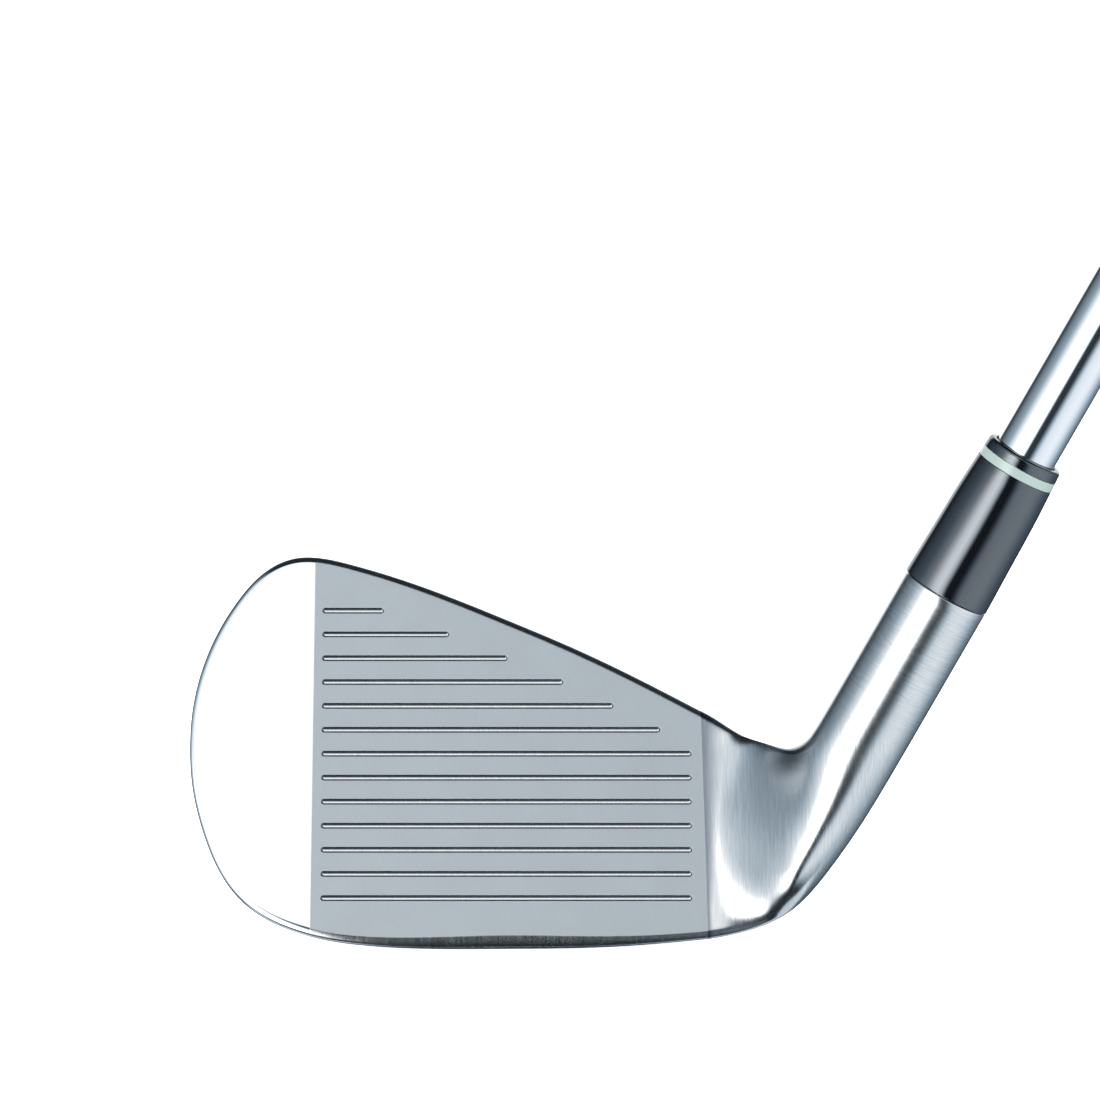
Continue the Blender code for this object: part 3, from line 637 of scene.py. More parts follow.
def half_sections(shares, across):
    """Surface over the outline share (rows) and the way round the rim (columns), in face coordinates.

    From the edge of the flat face the profile turns through the front edge, the topline or sole and the
    back edge, each an arc in the plane of the outline's normal and the depth. A cubic Bezier then takes
    it over the back to the middle line.
    """
    point, outward = outline_at(shares)
    inset, radius, front_end, width, turn, back_radius, back_end = rim_at(shares).T
    front_end = np.radians(front_end)
    turn = np.radians(turn)
    back_end = np.radians(back_end)
    back_turn = back_end - front_end - turn
    steps = np.concatenate((
        arc_steps(front_end * 0.0, front_end, radius * front_end, EDGE_STEPS),
        arc_steps(front_end, turn, width, RIM_STEPS),
        arc_steps(front_end + turn, back_turn, back_radius * back_turn, BACK_EDGE_STEPS),
    ), axis=1)
    profile = np.concatenate((np.zeros((len(point), 1, 2)), np.cumsum(steps, axis=1)), axis=1)
    edge = point - outward * inset[:, None]
    flat = edge[:, None, :] + profile[:, :, :1] * outward[:, None, :]
    rim = np.concatenate((flat, profile[:, :, 1:]), axis=2)
    blend = (across - TOE_STATION) / (HEEL_STATION - TOE_STATION)
    height = MIDDLE_TOE + (MIDDLE_HEEL - MIDDLE_TOE) * blend
    middle = np.column_stack((across, height, np.full(len(across), BACK_DEPTH)))
    last = rim[:, -1]
    reach = middle[:, :2] - last[:, :2]
    span = np.linalg.norm(reach, axis=1)[:, None]
    inward = reach / span
    leave = np.column_stack((-inward * np.cos(back_end)[:, None], np.sin(back_end)))
    arrive = np.column_stack((-inward, -inward[:, 1] * BACK_SLOPE))
    first_handle = last + leave * span * BACK_PULL_EDGE
    second_handle = middle + arrive * span * BACK_PULL_MIDDLE
    t = (np.arange(1, BACK_STEPS + 1) / BACK_STEPS)[None, :, None]
    back = ((1 - t) ** 3 * last[:, None] + 3 * (1 - t) ** 2 * t * first_handle[:, None]
            + 3 * (1 - t) * t ** 2 * second_handle[:, None] + t ** 3 * middle[:, None])
    return np.concatenate((rim, back), axis=1)


def section_frames(upper, lower):
    """Axes of sections: across them, back through them, and along the spine."""
    across = upper - lower
    unit = across / np.linalg.norm(across, axis=1)[:, None]
    back = BACK - unit[:, 1:2] * unit
    back = back / np.linalg.norm(back, axis=1)[:, None]
    return np.stack((across, back, np.cross(back, unit)), axis=1)


def circle_turns(back_count):
    """Angle on the hosel circle of each point of a ring, 0 at its upper outline."""
    front = np.linspace(-math.pi, 0.0, FRONT_STEPS + 1)
    back = np.linspace(0.0, math.pi, back_count + 1)[1:-1]
    return np.concatenate((front, back))


def tube_sections(turns, length, share, radius):
    """Sections that stay round by the lower outline, as the hosel is, and sink towards the face above it.

    With the rounding's size R, the ring's length L and the turn t: below the crest s = R (1 + cos t) and the
    depth is -radius * |sin t|; above it u = cos t runs from 0 to 1, s = R + (L - R) u, and the depth eases
    from -radius * sqrt(1 - u^2), a circle, to -radius * cos^2(pi u / 2), a hollow. The back is half an
    ellipse.
    """
    size = CREST_START + (radius - CREST_START) * smoothstep(share / CREST_GROWTH)
    size = np.minimum(size, length / 2.0)[:, None]
    length = length[:, None]
    hollow = HOLLOW_SHARE * smoothstep((length / (2.0 * radius) - 1.0) / HOLLOW_RANGE)
    cosine = np.cos(turns)[None, :]
    sine = np.abs(np.sin(turns))[None, :]
    above = np.clip(cosine, 0.0, 1.0)
    place = np.where(cosine < 0.0, size * (1.0 + cosine), size + (length - size) * above) / length
    dip = np.where(cosine < 0.0, sine, sine * (1.0 - hollow) + np.cos(math.pi / 2.0 * above) ** 2 * hollow)
    back = (turns > 0.0)[None, :]
    place = np.where(back, 0.5 + 0.5 * cosine, place)
    depth = np.where(back, radius * sine, -radius * dip)
    return np.stack((place, depth, np.zeros_like(place)), axis=-1)


def heel_rings(ring, hosel_radius):
    """Rings from the blade's heel section to the round hosel.

    Each ring is lower + F * (upper - lower) + G * back + H * along, where upper and lower follow splines
    through the heel's outline and (F, G, H) eases from the blade's section to a circle.
    """
    start_upper = face_to_layout((*OUTLINE[0], 0.0))
    start_lower = face_to_layout((*OUTLINE[-1], 0.0))
    side = SIDE * hosel_radius
    ends = axis_point(np.array([HOSEL_START, HOSEL_START + 5.0]))
    uppers = np.vstack((2 * start_upper - HEEL_UPPER[0], start_upper, HEEL_UPPER, ends + side))
    lowers = np.vstack((2 * start_lower - HEEL_LOWER[0], start_lower, HEEL_LOWER, ends - side))
    knots = np.arange(len(uppers)) - 1.0
    last = len(uppers) - 3
    places = np.linspace(0.0, last, HEEL_STEPS + 1)
    upper = natural_spline(knots, uppers, places)
    lower = natural_spline(knots, lowers, places)
    frames = section_frames(upper, lower)
    start = section_frames(start_upper[None], start_lower[None])[0]
    local = np.linalg.solve(start.T, (ring - start_lower).T).T
    turns = circle_turns(len(ring) - FRONT_STEPS)
    length = np.linalg.norm(upper - lower, axis=1)
    round_section = tube_sections(turns, length, places / last, hosel_radius)
    whole = smoothstep(places / last)[:, None]
    quick = smoothstep(places / last / CREST_REACH)[:, None]
    backward = np.where(turns > 0.0, np.sin(turns) ** 2, 0.0)[None, :]
    blend = (quick + (whole - quick) * backward)[:, :, None]
    shape = local * (1.0 - blend) + round_section * blend
    return lower[:, None, :] + np.einsum("rpk,rkc->rpc", shape, frames)


def relaxed_rings(rings, reach):
    """Rings averaged along the spine with a bell curve that fades to nothing at both ends.

    Ring i becomes the sum of w(i, j) * ring j with w = exp(-((i - j) / (reach * fade(i)))^2 / 2), normalised.
    """
    index = np.arange(len(rings))
    fade = smoothstep(index / (4.0 * reach)) * smoothstep((len(rings) - 1 - index) / (4.0 * reach))
    spread = np.maximum(reach * fade, 1e-3)[:, None]
    weight = np.exp(-0.5 * ((index[None, :] - index[:, None]) / spread) ** 2)
    weight /= weight.sum(axis=1)[:, None]
    return np.tensordot(weight, rings, axes=1)


def hosel_rings(turns, hosel_radius, bore_radius):
    """Circles up the hosel, over its top edge and down the bore to its closed bottom."""
    runs = list(np.linspace(HOSEL_START, HOSEL_TOP - HOSEL_CHAMFER, HOSEL_STEPS + 1)[1:])
    radii = [hosel_radius] * len(runs)
    bend = np.linspace(0.0, math.pi / 2.0, 6)[1:]
    runs += list(HOSEL_TOP - HOSEL_CHAMFER + HOSEL_CHAMFER * np.sin(bend))
    radii += list(hosel_radius - HOSEL_CHAMFER + HOSEL_CHAMFER * np.cos(bend))
    runs += [HOSEL_TOP, HOSEL_TOP - 0.2, BORE_BOTTOM, BORE_BOTTOM]
    radii += [bore_radius + 0.2, bore_radius, bore_radius, 0.0]
    spokes = np.cos(turns)[:, None] * SIDE + np.sin(turns)[:, None] * BACK
    return axis_point(np.array(runs))[:, None, :] + np.array(radii)[:, None, None] * spokes[None]


def groove_paths(count):
    """Heights and across ends of the score lines; the upper ones stop short of the topline."""
    heights = GROOVE_LOWEST + GROOVE_PITCH * np.arange(count)
    shares = np.linspace(0.0, 0.33, 400)
    top, outward = outline_at(shares)
    line = top - outward * GROOVE_EDGE_GAP
    rights = np.minimum(GROOVE_RIGHT, np.interp(heights, line[:, 1], line[:, 0]))
    return heights, rights


def groove_surface(height, right, half_width, depth):
    """One score line as a profile carried round its long round-ended path, in face coordinates.

    Point(place, row) = (path base + offset * path direction, depth): the offset falls from the shoulder
    to 0 on the middle line while the depth goes down a sloped wall to a flat floor.
    """
    turn = np.linspace(-math.pi / 2.0, math.pi / 2.0, GROOVE_END_STEPS)
    direction = np.column_stack((np.cos(turn), np.sin(turn)))
    direction = np.concatenate((direction, -direction))
    base_across = np.repeat((right - half_width, GROOVE_LEFT + half_width), GROOVE_END_STEPS)
    base = np.column_stack((base_across, np.full(len(base_across), height)))
    floor = half_width * GROOVE_FLOOR_SHARE
    corner = 0.12 * (half_width - floor)
    offsets = np.array([half_width + GROOVE_SHOULDER, half_width, half_width - corner, floor + corner,
                        floor, floor - corner, 0.0])
    depths = np.array([0.0, 0.06, 0.2, 0.86, 0.97, 1.0, 1.0]) * depth
    flat = base[:, None, :] + offsets[None, :, None] * direction[:, None, :]
    deep = np.broadcast_to(depths[None, :, None], (*flat.shape[:2], 1))
    return np.concatenate((flat, deep), axis=2)


def face_triangles(boundary, holes):
    """Constrained Delaunay triangles of the flat face, with the score lines left open."""
    loops = [boundary, *holes]
    points = np.concatenate(loops)
    edges = []
    first = 0
    for loop in loops:
        index = np.arange(len(loop))
        edges.append(np.column_stack((index, np.roll(index, -1))) + first)
        first += len(loop)
    made = geometry.delaunay_2d_cdt([Vector(point) for point in points],
                                    np.concatenate(edges).tolist(), [], 1, 1e-6)
    corners = np.array([tuple(vertex) for vertex in made[0]])
    triangles = np.array(made[2])
    centres = corners[triangles].mean(axis=1)
    keep = np.ones(len(triangles), bool)
    for hole in holes:
        low = hole.min(axis=0)
        high = hole.max(axis=0)
        radius = (high[1] - low[1]) / 2.0
        middle = (high[1] + low[1]) / 2.0
        nearest = np.clip(centres[:, 0], low[0] + radius, high[0] - radius)
        keep &= np.hypot(centres[:, 0] - nearest, centres[:, 1] - middle) > radius - 1e-4
    return corners, triangles[keep]


def head_surface(settings):
    """The whole head: rim and back, heel and hosel, score lines and flat face, as one closed surface."""
    hosel_radius = settings.hosel_radius / MM
    stations = np.linspace(HEEL_STATION, TOE_STATION, BLADE_STEPS + 1)
    upper_shares = outline_share(stations, False)
    lower_shares = outline_share(stations, True)[::-1]
    toe_shares = np.linspace(upper_shares[-1], lower_shares[0], TOE_STEPS + 1)[1:-1]
    shares = np.concatenate((upper_shares, toe_shares, lower_shares))
    shares[0] = 0.0
    shares[-1] = 1.0
    across = np.concatenate((stations, np.full(len(toe_shares), TOE_STATION), stations[::-1]))
    sheet = half_sections(shares, across)
    front_share = np.linspace(0.0, 1.0, FRONT_STEPS + 1)[:, None]
    front = sheet[-1, 0] * (1.0 - front_share) + sheet[0, 0] * front_share
    ring = face_to_layout(np.concatenate((front, sheet[0, 1:], sheet[-1, -2:0:-1])))
    heel = heel_rings(ring, hosel_radius)
    turns = circle_turns(len(ring) - FRONT_STEPS)
    hosel = hosel_rings(turns, hosel_radius, settings.bore_radius / MM)
    smooth = relaxed_rings(np.concatenate((heel, hosel[:HOSEL_STEPS])), RELAX_REACH)
    rings = np.concatenate((smooth, hosel[HOSEL_STEPS:]))
    heights, rights = groove_paths(settings.groove_count)
    half_width = settings.groove_width / MM / 2.0
    grooves = [groove_surface(height, right, half_width, settings.groove_depth / MM)
               for height, right in zip(heights, rights)]
    boundary = np.concatenate((sheet[:, 0, :2], front[1:-1, :2]))
    corners, triangles = face_triangles(boundary, [groove[:, 0, :2] for groove in grooves])
    flat = face_to_layout(np.column_stack((corners, np.zeros(len(corners)))))

    parts = [face_to_layout(sheet).reshape(-1, 3), rings.reshape(-1, 3), flat]
    parts += [face_to_layout(groove).reshape(-1, 3) for groove in grooves]
    starts = np.concatenate(([0], np.cumsum([len(part) for part in parts])))
    quads = [grid_quads(*sheet.shape[:2], starts[0])]
    quads.append(grid_quads(*rings.shape[:2], starts[1], close_columns=True)[:, ::-1])
    for start, groove in zip(starts[3:], grooves):
        wrapped = grid_quads(groove.shape[1], groove.shape[0], 0, close_columns=True)
        row, column = np.divmod(wrapped, groove.shape[0])
        quads.append(column * groove.shape[1] + row + start)
    return np.concatenate(parts), [np.concatenate(quads), triangles + starts[2]]


def mark_score_lines(mesh, settings):
    """Note at each vertex how far down a score line it lies: 0 at the face, 1 on the floor."""
    places = np.zeros(len(mesh.vertices) * 3, np.float32)
    mesh.vertices.foreach_get("co", places)
    offset = places.reshape(-1, 3) / MM - SHIFT - FACE_FOOT
    across = offset @ ACROSS
    height = offset @ FACE_UP
    depth = -(offset @ FACE_NORMAL)
    heights, rights = groove_paths(settings.groove_count)
    row = np.clip(np.rint((height - GROOVE_LOWEST) / GROOVE_PITCH).astype(int), 0, len(heights) - 1)
    near = np.abs(height - heights[row]) < settings.groove_width / MM / 2.0
    near &= (across > GROOVE_LEFT - WELD) & (across < rights[row] + WELD)
    near &= depth < settings.groove_depth / MM + WELD
    share = np.where(near, np.clip(depth / (settings.groove_depth / MM), 0.0, 1.0), 0.0)
    mesh.attributes.new("score", "FLOAT", "POINT").data.foreach_set("value", share.astype(np.float32))


def on_face_plane(points):
    """True for points of the flat face, its edge included."""
    on_plane = np.abs((points - FACE_FOOT) @ FACE_NORMAL) < 1e-3
    return on_plane & (points[:, 0] < HEEL_STATION + 1e-3)


def face_signals(finish):
    """Signals in millimetres: across the face, up it, and depth behind its plane."""
    place = finish.place()
    foot = layout_to_frame(FACE_FOOT)
    across = (finish.dot(place, ACROSS) - float(foot @ ACROSS)) / MM
    height = (finish.dot(place, FACE_UP) - float(foot @ FACE_UP)) / MM
    depth = (finish.dot(place, -FACE_NORMAL) + float(foot @ FACE_NORMAL)) / MM
    return across, height, depth


def head_finish(settings):
    """Forged steel: mirror toe, blasted hitting zone, brushed heel, hosel, sole and back.

    Three places get painted shade in their colour: the corner by the hosel, a band beside the hitting zone on
    the front, and the walls of the score lines.
    """
    material, finish = new_finish("forged_steel")
    across, height, depth = face_signals(finish)
    right_edge = height * ZONE_RIGHT_LEAN + ZONE_RIGHT
    left_edge = height * ZONE_LEFT_LEAN + ZONE_LEFT
    in_zone = (across - left_edge).ease(-0.05, 0.05) * (1.0 - (across - right_edge).ease(-0.05, 0.05))
    on_plane = 1.0 - depth.ease(0.012, 0.02)
    in_front = depth.ease(-0.04, -0.02)
    zone = in_zone * on_plane * in_front
    toe_side = (1.0 - (across - left_edge).ease(-0.2, 0.2)) * (1.0 - depth.ease(1.2, 3.0))
    groove = finish.node("ShaderNodeAttribute", {"attribute_name": "score"}, {}).signal("Fac")
    in_groove = groove.ease(0.01, 0.06)
    wall = groove.ease(0.02, 0.1) * (1.0 - groove.ease(0.84, 0.92))
    polish = finish.mix(toe_side, rgba(settings.brushed), rgba(settings.polished))
    # Painted shade: a dark band on the front just past the hitting zone's right edge, wider higher up, in
    # place of the shade along that edge.
    shade_width = height.math("MAXIMUM", 8.0) * 0.07
    shade = ((across - right_edge) / shade_width).ease(0.0, 1.6)
    beside_zone_painted_shade = (1.0 - shade) * (1.0 - zone) * (across - right_edge).ease(-0.1, 0.05) * depth.ease(-1.5, -0.9)
    beside_zone_painted_shade = beside_zone_painted_shade * (1.0 - depth.ease(1.2, 3.0))
    polish = finish.mix(beside_zone_painted_shade * BESIDE_ZONE_SHADE_SHARE, polish, BESIDE_ZONE_PAINTED_SHADE)
    # Painted shade: the walls of the score lines are darkened in colour, in place of the shade inside them.
    polish = finish.mix(wall, polish, GROOVE_WALL_PAINTED_SHADE)

    run, side, back = club_coordinates(finish)
    mill = finish.noise(finish.vector(across * 9.0, height * 0.55, depth), 1.0, 3.0, 0.6)
    grain = finish.noise(finish.vector(across * 5.0, height * 5.0, depth), 1.0, 4.0, 0.7)
    on_hosel = run.ease(36.0, 48.0) * across.ease(34.0, 40.0)
    in_back = depth.ease(2.0, 3.0) * (1.0 - on_hosel)
    upward = finish.noise(finish.vector(across * 4.0, height * 0.2, depth * 0.5), 1.0, 4.0, 0.7)
    along = finish.noise(finish.vector(across * 0.2, height * 4.0, depth * 4.0), 1.0, 4.0, 0.7)
    brush = upward * (1.0 - in_back) + along * in_back
    ringed = finish.noise(finish.vector(run * 4.0, side * 0.25, back * 0.25), 1.0, 4.0, 0.7)
    streaks = ringed * on_hosel + brush * (1.0 - on_hosel)
    cloud = finish.noise(finish.vector(across * 0.12, height * 0.12, depth * 0.12), 1.0, 2.0, 0.5)

    blast_tone = (mill * 0.12 + grain * 0.12 + cloud * 0.10) + 0.83
    blasted = finish.node("ShaderNodeVectorMath", {"operation": "SCALE"},
                          {0: settings.blasted[:], 3: blast_tone}).signal()
    # Painted shade: darkens the steel round the corner between the top edge and the hosel, on the front, in
    # place of the dark reflection there.
    across_part = (across - CORNER[0]).math("POWER", 2.0)
    height_part = (height - CORNER[1]).math("POWER", 2.0)
    from_corner = (across_part + height_part).math("SQRT")
    corner_painted_shade = (1.0 - from_corner.ease(0.4, CORNER_REACH)) * (1.0 - depth.ease(5.0, 8.0))
    polish = finish.mix(corner_painted_shade * CORNER_SHADE_SHARE, polish, CORNER_PAINTED_SHADE)
    streak = streaks * 0.5 + 0.74
    polish = finish.node("ShaderNodeVectorMath", {"operation": "SCALE"},
                         {0: polish, 3: streak * (1.0 - toe_side) + toe_side}).signal()
    colour = finish.mix(zone, polish, blasted)
    rough_brushed = streaks * 0.12 + 0.13
    rough_polished = grain * 0.02 + 0.05
    rough_zone = mill * 0.05 + grain * 0.06 + 0.33
    roughness = rough_brushed * (1.0 - toe_side) + rough_polished * toe_side
    roughness = roughness * (1.0 - in_groove) + in_groove * 0.12
    roughness = roughness * (1.0 - zone) + rough_zone * zone
    wear = (1.0 - toe_side) * (1.0 - zone)
    height_map = zone * (mill * 0.5 + grain * 0.5) + wear * streaks
    normal = finish.bump(height_map, 0.35, 0.00003)
    finish.surface({"Base Color": colour, "Metallic": 1.0, "Roughness": roughness, "Normal": normal})
    return material


# ---------------------------------------------------------------- ferrule, shaft and grip

def ferrule_radius(run, length):
    """Outer radius of the ferrule: a spline from its foot to its top."""
    places = np.linspace(0.0, length, len(FERRULE_RADII))
    return natural_spline(places, np.array(FERRULE_RADII)[:, None], np.asarray(run) - FERRULE_START)[:, 0]


def ferrule_piece(settings, start, end, rounding_low, rounding_high):
    """Closed profile of one ferrule piece between two places on the axis, with rounded outer edges."""
    length = settings.whole_length / MM
    bore = settings.bore_radius / MM
    runs = np.linspace(start, end, 14)
    radii = ferrule_radius(runs, length)
    corners = [(bore, start, 0.0), (radii[0], start, rounding_low)]
    corners += [(radius, run, 0.0) for radius, run in zip(radii[1:-1], runs[1:-1])
                if start + rounding_low < run < end - rounding_high]
    corners += [(radii[-1], end, rounding_high), (bore, end, min(rounding_high, 0.2))]
    return rounded_profile(corners, 8)


def black_finish(settings):
    """Glossy black acetate with faint dust and turning marks."""
    material, finish = new_finish("ferrule_black")
    run, side, back = club_coordinates(finish)
    marks = finish.noise(finish.vector(run * 6.0, side * 0.3, back * 0.3), 1.0, 2.0, 0.5)
    dust = finish.noise(finish.vector(run * 2.0, side * 2.0, back * 2.0), 1.0, 2.0, 0.5).ease(0.74, 0.8)
    colour = finish.mix(dust * 0.25, rgba(settings.black), (0.3, 0.32, 0.34, 1.0))
    finish.surface({"Base Color": colour, "Roughness": marks * 0.03 + dust * 0.1 + 0.03, "IOR": 2.25,
                    "Specular Tint": (0.92, 1.0, 1.1, 1.0),
                    "Normal": finish.bump(marks, 0.03, 0.00001)})
    return material


def trim_finish(settings):
    """Pale, slightly cloudy plastic of the trim ring."""
    material, finish = new_finish("ferrule_trim")
    run, side, back = club_coordinates(finish)
    cloud = finish.noise(finish.vector(run * 1.2, side * 0.5, back * 0.5), 1.0, 3.0, 0.6)
    colour = finish.mix(cloud * 0.5, rgba(settings.trim), (0.30, 0.36, 0.35, 1.0))
    finish.surface({"Base Color": colour, "Roughness": cloud * 0.08 + 0.14, "IOR": 1.6,
                    "Normal": finish.bump(cloud, 0.05, 0.00002)})
    return material


def shaft_radii(runs, settings):
    """Outer radius of the stepped shaft: each step eases out over a short length."""
    tip = settings.tip_radius / MM
    growth = (SHAFT_BUTT_RADIUS - tip) / settings.step_count
    places = SHAFT_FIRST_STEP + SHAFT_STEP_PITCH * np.arange(settings.step_count)
    return tip + growth * smoothstep((np.asarray(runs)[:, None] - places) / SHAFT_STEP_BLEND).sum(axis=1)


def shaft_profile(settings):
    """Closed profile: the stepped outside from tip to butt, then the inner wall back to the tip."""
    eased = np.linspace(0.0, SHAFT_STEP_BLEND, 7)
    steps = SHAFT_FIRST_STEP + SHAFT_STEP_PITCH * np.arange(settings.step_count)
    stepped = (steps[:, None] + eased).ravel()
    runs = np.concatenate(([SHAFT_TIP, 60.0, 90.0, 140.0, 220.0], stepped, [SHAFT_END]))
    outer = np.column_stack((shaft_radii(runs, settings), runs))
    inner = outer[::-1] - np.array([SHAFT_WALL, 0.0])
    return np.concatenate((outer, inner))


def chrome_finish(settings):
    """Mirror chrome with very light polishing marks along the tube."""
    material, finish = new_finish("shaft_chrome")
    run, side, back = club_coordinates(finish)
    marks = finish.noise(finish.vector(run * 0.05, side * 4.0, back * 4.0), 1.0, 3.0, 0.6)
    haze = finish.noise(finish.vector(run * 0.2, side * 0.4, back * 0.4), 1.0, 2.0, 0.5)
    colour = finish.mix(haze * 0.3, rgba(settings.chrome), (0.80, 0.82, 0.85, 1.0))
    finish.surface({"Base Color": colour, "Metallic": 1.0, "Roughness": marks * 0.03 + haze * 0.02 + 0.025,
                    "Normal": finish.bump(marks, 0.02, 0.00001)})
    return material


def band_finish(settings):
    """Plain adhesive band: dark film with two pale stripes and a faint weave."""
    material, finish = new_finish("band_label")
    run, side, back = club_coordinates(finish)
    lower = run.between(BAND_START + 2.0, BAND_START + 3.2, 0.1)
    upper = run.between(BAND_START + BAND_LENGTH - 3.2, BAND_START + BAND_LENGTH - 2.0, 0.1)
    fibre = finish.noise(finish.vector(run * 3.0, side * 3.0, back * 3.0), 1.0, 3.0, 0.6)
    colour = finish.mix(lower + upper, rgba(settings.band), (0.62, 0.64, 0.66, 1.0))
    finish.surface({"Base Color": colour, "Roughness": fibre * 0.2 + 0.3, "Metallic": 0.2,
                    "Normal": finish.bump(fibre, 0.08, 0.00003)})
    return material


def grip_radii(runs):
    """Outer radius of the grip: a slim mouth that swells towards the butt."""
    share = np.clip((runs - GRIP_MOUTH) / (CLUB_END - CAP_HEIGHT - GRIP_MOUTH), 0.0, 1.0)
    return GRIP_MOUTH_RADIUS + (GRIP_BUTT_RADIUS - GRIP_MOUTH_RADIUS) * share ** 0.9


def grip_pattern(run, turn):
    """Depth share of the moulded pattern: staggered slots between plain bands, from 0 to 1.

    Slot rows repeat every few millimetres; every second row is shifted by half a slot round the grip.
    """
    row = np.floor((run - GRIP_MOUTH) / SLOT_PITCH)
    along = np.abs(((run - GRIP_MOUTH) / SLOT_PITCH - row) - 0.5) * SLOT_PITCH
    shifted = turn / (2.0 * math.pi) * SLOTS_ROUND + 0.5 * np.mod(row, 2.0)
    around = np.abs(shifted - np.floor(shifted) - 0.5) * 2.0 * math.pi * SLOT_RADIUS / SLOTS_ROUND
    lens = 1.0 - smoothstep((np.hypot(along / 2.9, around / 0.85) - 0.75) / 0.3)
    share = (run - GRIP_MOUTH) / (CLUB_END - CAP_HEIGHT - GRIP_MOUTH)
    bands = smoothstep((share - 0.045) / 0.01) * (1.0 - smoothstep((share - 0.955) / 0.01))
    plain = smoothstep((np.abs(share - 0.52) - 0.022) / 0.008)
    rings = np.maximum(1.0 - smoothstep((np.abs(share - 0.50) - 0.002) / 0.002),
                       1.0 - smoothstep((np.abs(share - 0.54) - 0.002) / 0.002))
    return np.maximum(lens * bands * plain, rings)


def grip_surface(settings):
    """Grip sleeve over run and turn, its radius lowered by the moulded pattern; the bore closes it."""
    end = CLUB_END - CAP_HEIGHT - FIT_GAP
    runs = np.linspace(GRIP_MOUTH + MOUTH_ROUNDING, end, GRIP_ROWS)
    turn = np.linspace(0.0, 2.0 * math.pi, GRIP_SIDES, endpoint=False)
    spokes = np.cos(turn)[:, None] * SIDE + np.sin(turn)[:, None] * BACK
    depth = settings.pattern_depth / MM
    radii = grip_radii(runs)[:, None] - depth * grip_pattern(runs[:, None], turn[None, :])
    outside = axis_point(runs)[:, None, :] + radii[:, :, None] * spokes[None]
    lip = np.linspace(0.0, math.pi / 2.0, 7)[:-1]
    lip_radii = GRIP_MOUTH_RADIUS - MOUTH_ROUNDING + MOUTH_ROUNDING * np.sin(lip)
    lip_runs = GRIP_MOUTH + MOUTH_ROUNDING - MOUTH_ROUNDING * np.cos(lip)
    mouth_radii = np.concatenate(([GRIP_CORE_RADIUS], lip_radii))
    mouth_runs = np.concatenate(([GRIP_MOUTH], lip_runs))
    mouth = axis_point(mouth_runs)[:, None, :] + mouth_radii[:, None, None] * spokes[None]
    close_radii = np.full(2, GRIP_CORE_RADIUS)
    close_runs = np.array([end, GRIP_MOUTH])
    close = axis_point(close_runs)[:, None, :] + close_radii[:, None, None] * spokes[None]
    points = np.concatenate((mouth, outside, close))
    return points.reshape(-1, 3), [grid_quads(len(points), GRIP_SIDES, close_columns=True)[:, ::-1]]


def rubber_finish(name, colour_value, rough):
    """Matt rubber with a fine moulded grain and a lightly handled sheen."""
    material, finish = new_finish(name)
    run, side, back = club_coordinates(finish)
    grain = finish.noise(finish.vector(run * 2.5, side * 2.5, back * 2.5), 1.0, 4.0, 0.65)
    handled = finish.noise(finish.vector(run * 0.03, side * 0.12, back * 0.12), 1.0, 2.0, 0.5)
    colour = finish.mix(grain * 0.5, rgba(colour_value), (0.05, 0.05, 0.053, 1.0))
    finish.surface({"Base Color": colour, "Roughness": grain * 0.2 + handled * 0.15 + rough,
                    "Normal": finish.bump(grain, 0.35, 0.00012)})
    return material


def hidden_finish(name, colour_value, metallic, rough, scale):
    """Finish of a piece inside the club: a base colour with a grain of its own."""
    material, finish = new_finish(name)
    run, side, back = club_coordinates(finish)
    grain = finish.noise(finish.vector(run * scale, side * scale, back * scale), 1.0, 3.0, 0.6)
    darker = tuple(0.7 * value for value in colour_value)
    colour = finish.mix(grain, rgba(colour_value), rgba(darker))
    finish.surface({"Base Color": colour, "Metallic": metallic, "Roughness": grain * 0.15 + rough,
                    "Normal": finish.bump(grain, 0.1, 0.00003)})
    return material


# ---------------------------------------------------------------- studio

def studio_world(settings):
    """World light: even for matt surfaces, soft panels in the dark for reflections.

    The panels are windows in azimuth (0 towards -Y, positive towards +X) and elevation, in degrees.
    """
    world = bpy.data.worlds.new("studio")
    world.use_nodes = True
    finish = Finish(world.node_tree)
    direction = finish.node("ShaderNodeTexCoord", {}, {}).signal(0)
    x = finish.dot(direction, ACROSS)
    y = finish.dot(direction, BACK)
    z = finish.dot(direction, UP)
    azimuth = x.math("ARCTAN2", y * -1.0) * math.degrees(1.0)
    elevation = z.math("ARCSINE") * math.degrees(1.0)
    behind = azimuth.math("ABSOLUTE")
    level_window = elevation.ease(-64.0, -34.0) * (1.0 - elevation.ease(19.0, 33.0))
    low_front = behind.ease(8.0, 24.0) + elevation.ease(-30.0, -14.0) * (1.0 - behind.ease(8.0, 24.0))
    level = finish.levels(azimuth, LEVEL_LIGHT) * level_window * low_front
    high = finish.levels(azimuth, HIGH_LIGHT) * elevation.between(26.0, 60.0, 12.0)
    rear = (behind.between(100.0, 166.0, 10.0) * elevation.between(-82.0, -46.0, 8.0) * 0.8
            + behind.ease(140.0, 155.0) * elevation.between(-8.0, 30.0, 10.0) * 1.3)
    light = level + high + rear + 0.025
    path = finish.node("ShaderNodeLightPath", {}, {})
    glossy = path.signal("Is Glossy Ray")
    strength = light * glossy + (1.0 - glossy) * settings.ambient
    cool = finish.mix(light.ease(0.15, 1.6), (0.66, 0.87, 1.05, 1.0), (1.0, 0.995, 0.985, 1.0))
    tint = finish.mix(glossy, (1.0, 1.0, 1.0, 1.0), cool)
    background = finish.node("ShaderNodeBackground", {}, {0: tint, 1: strength})
    finish.node("ShaderNodeOutputWorld", {}, {0: background.signal()})
    world.cycles.sampling_method = "NONE"
    bpy.context.scene.world = world


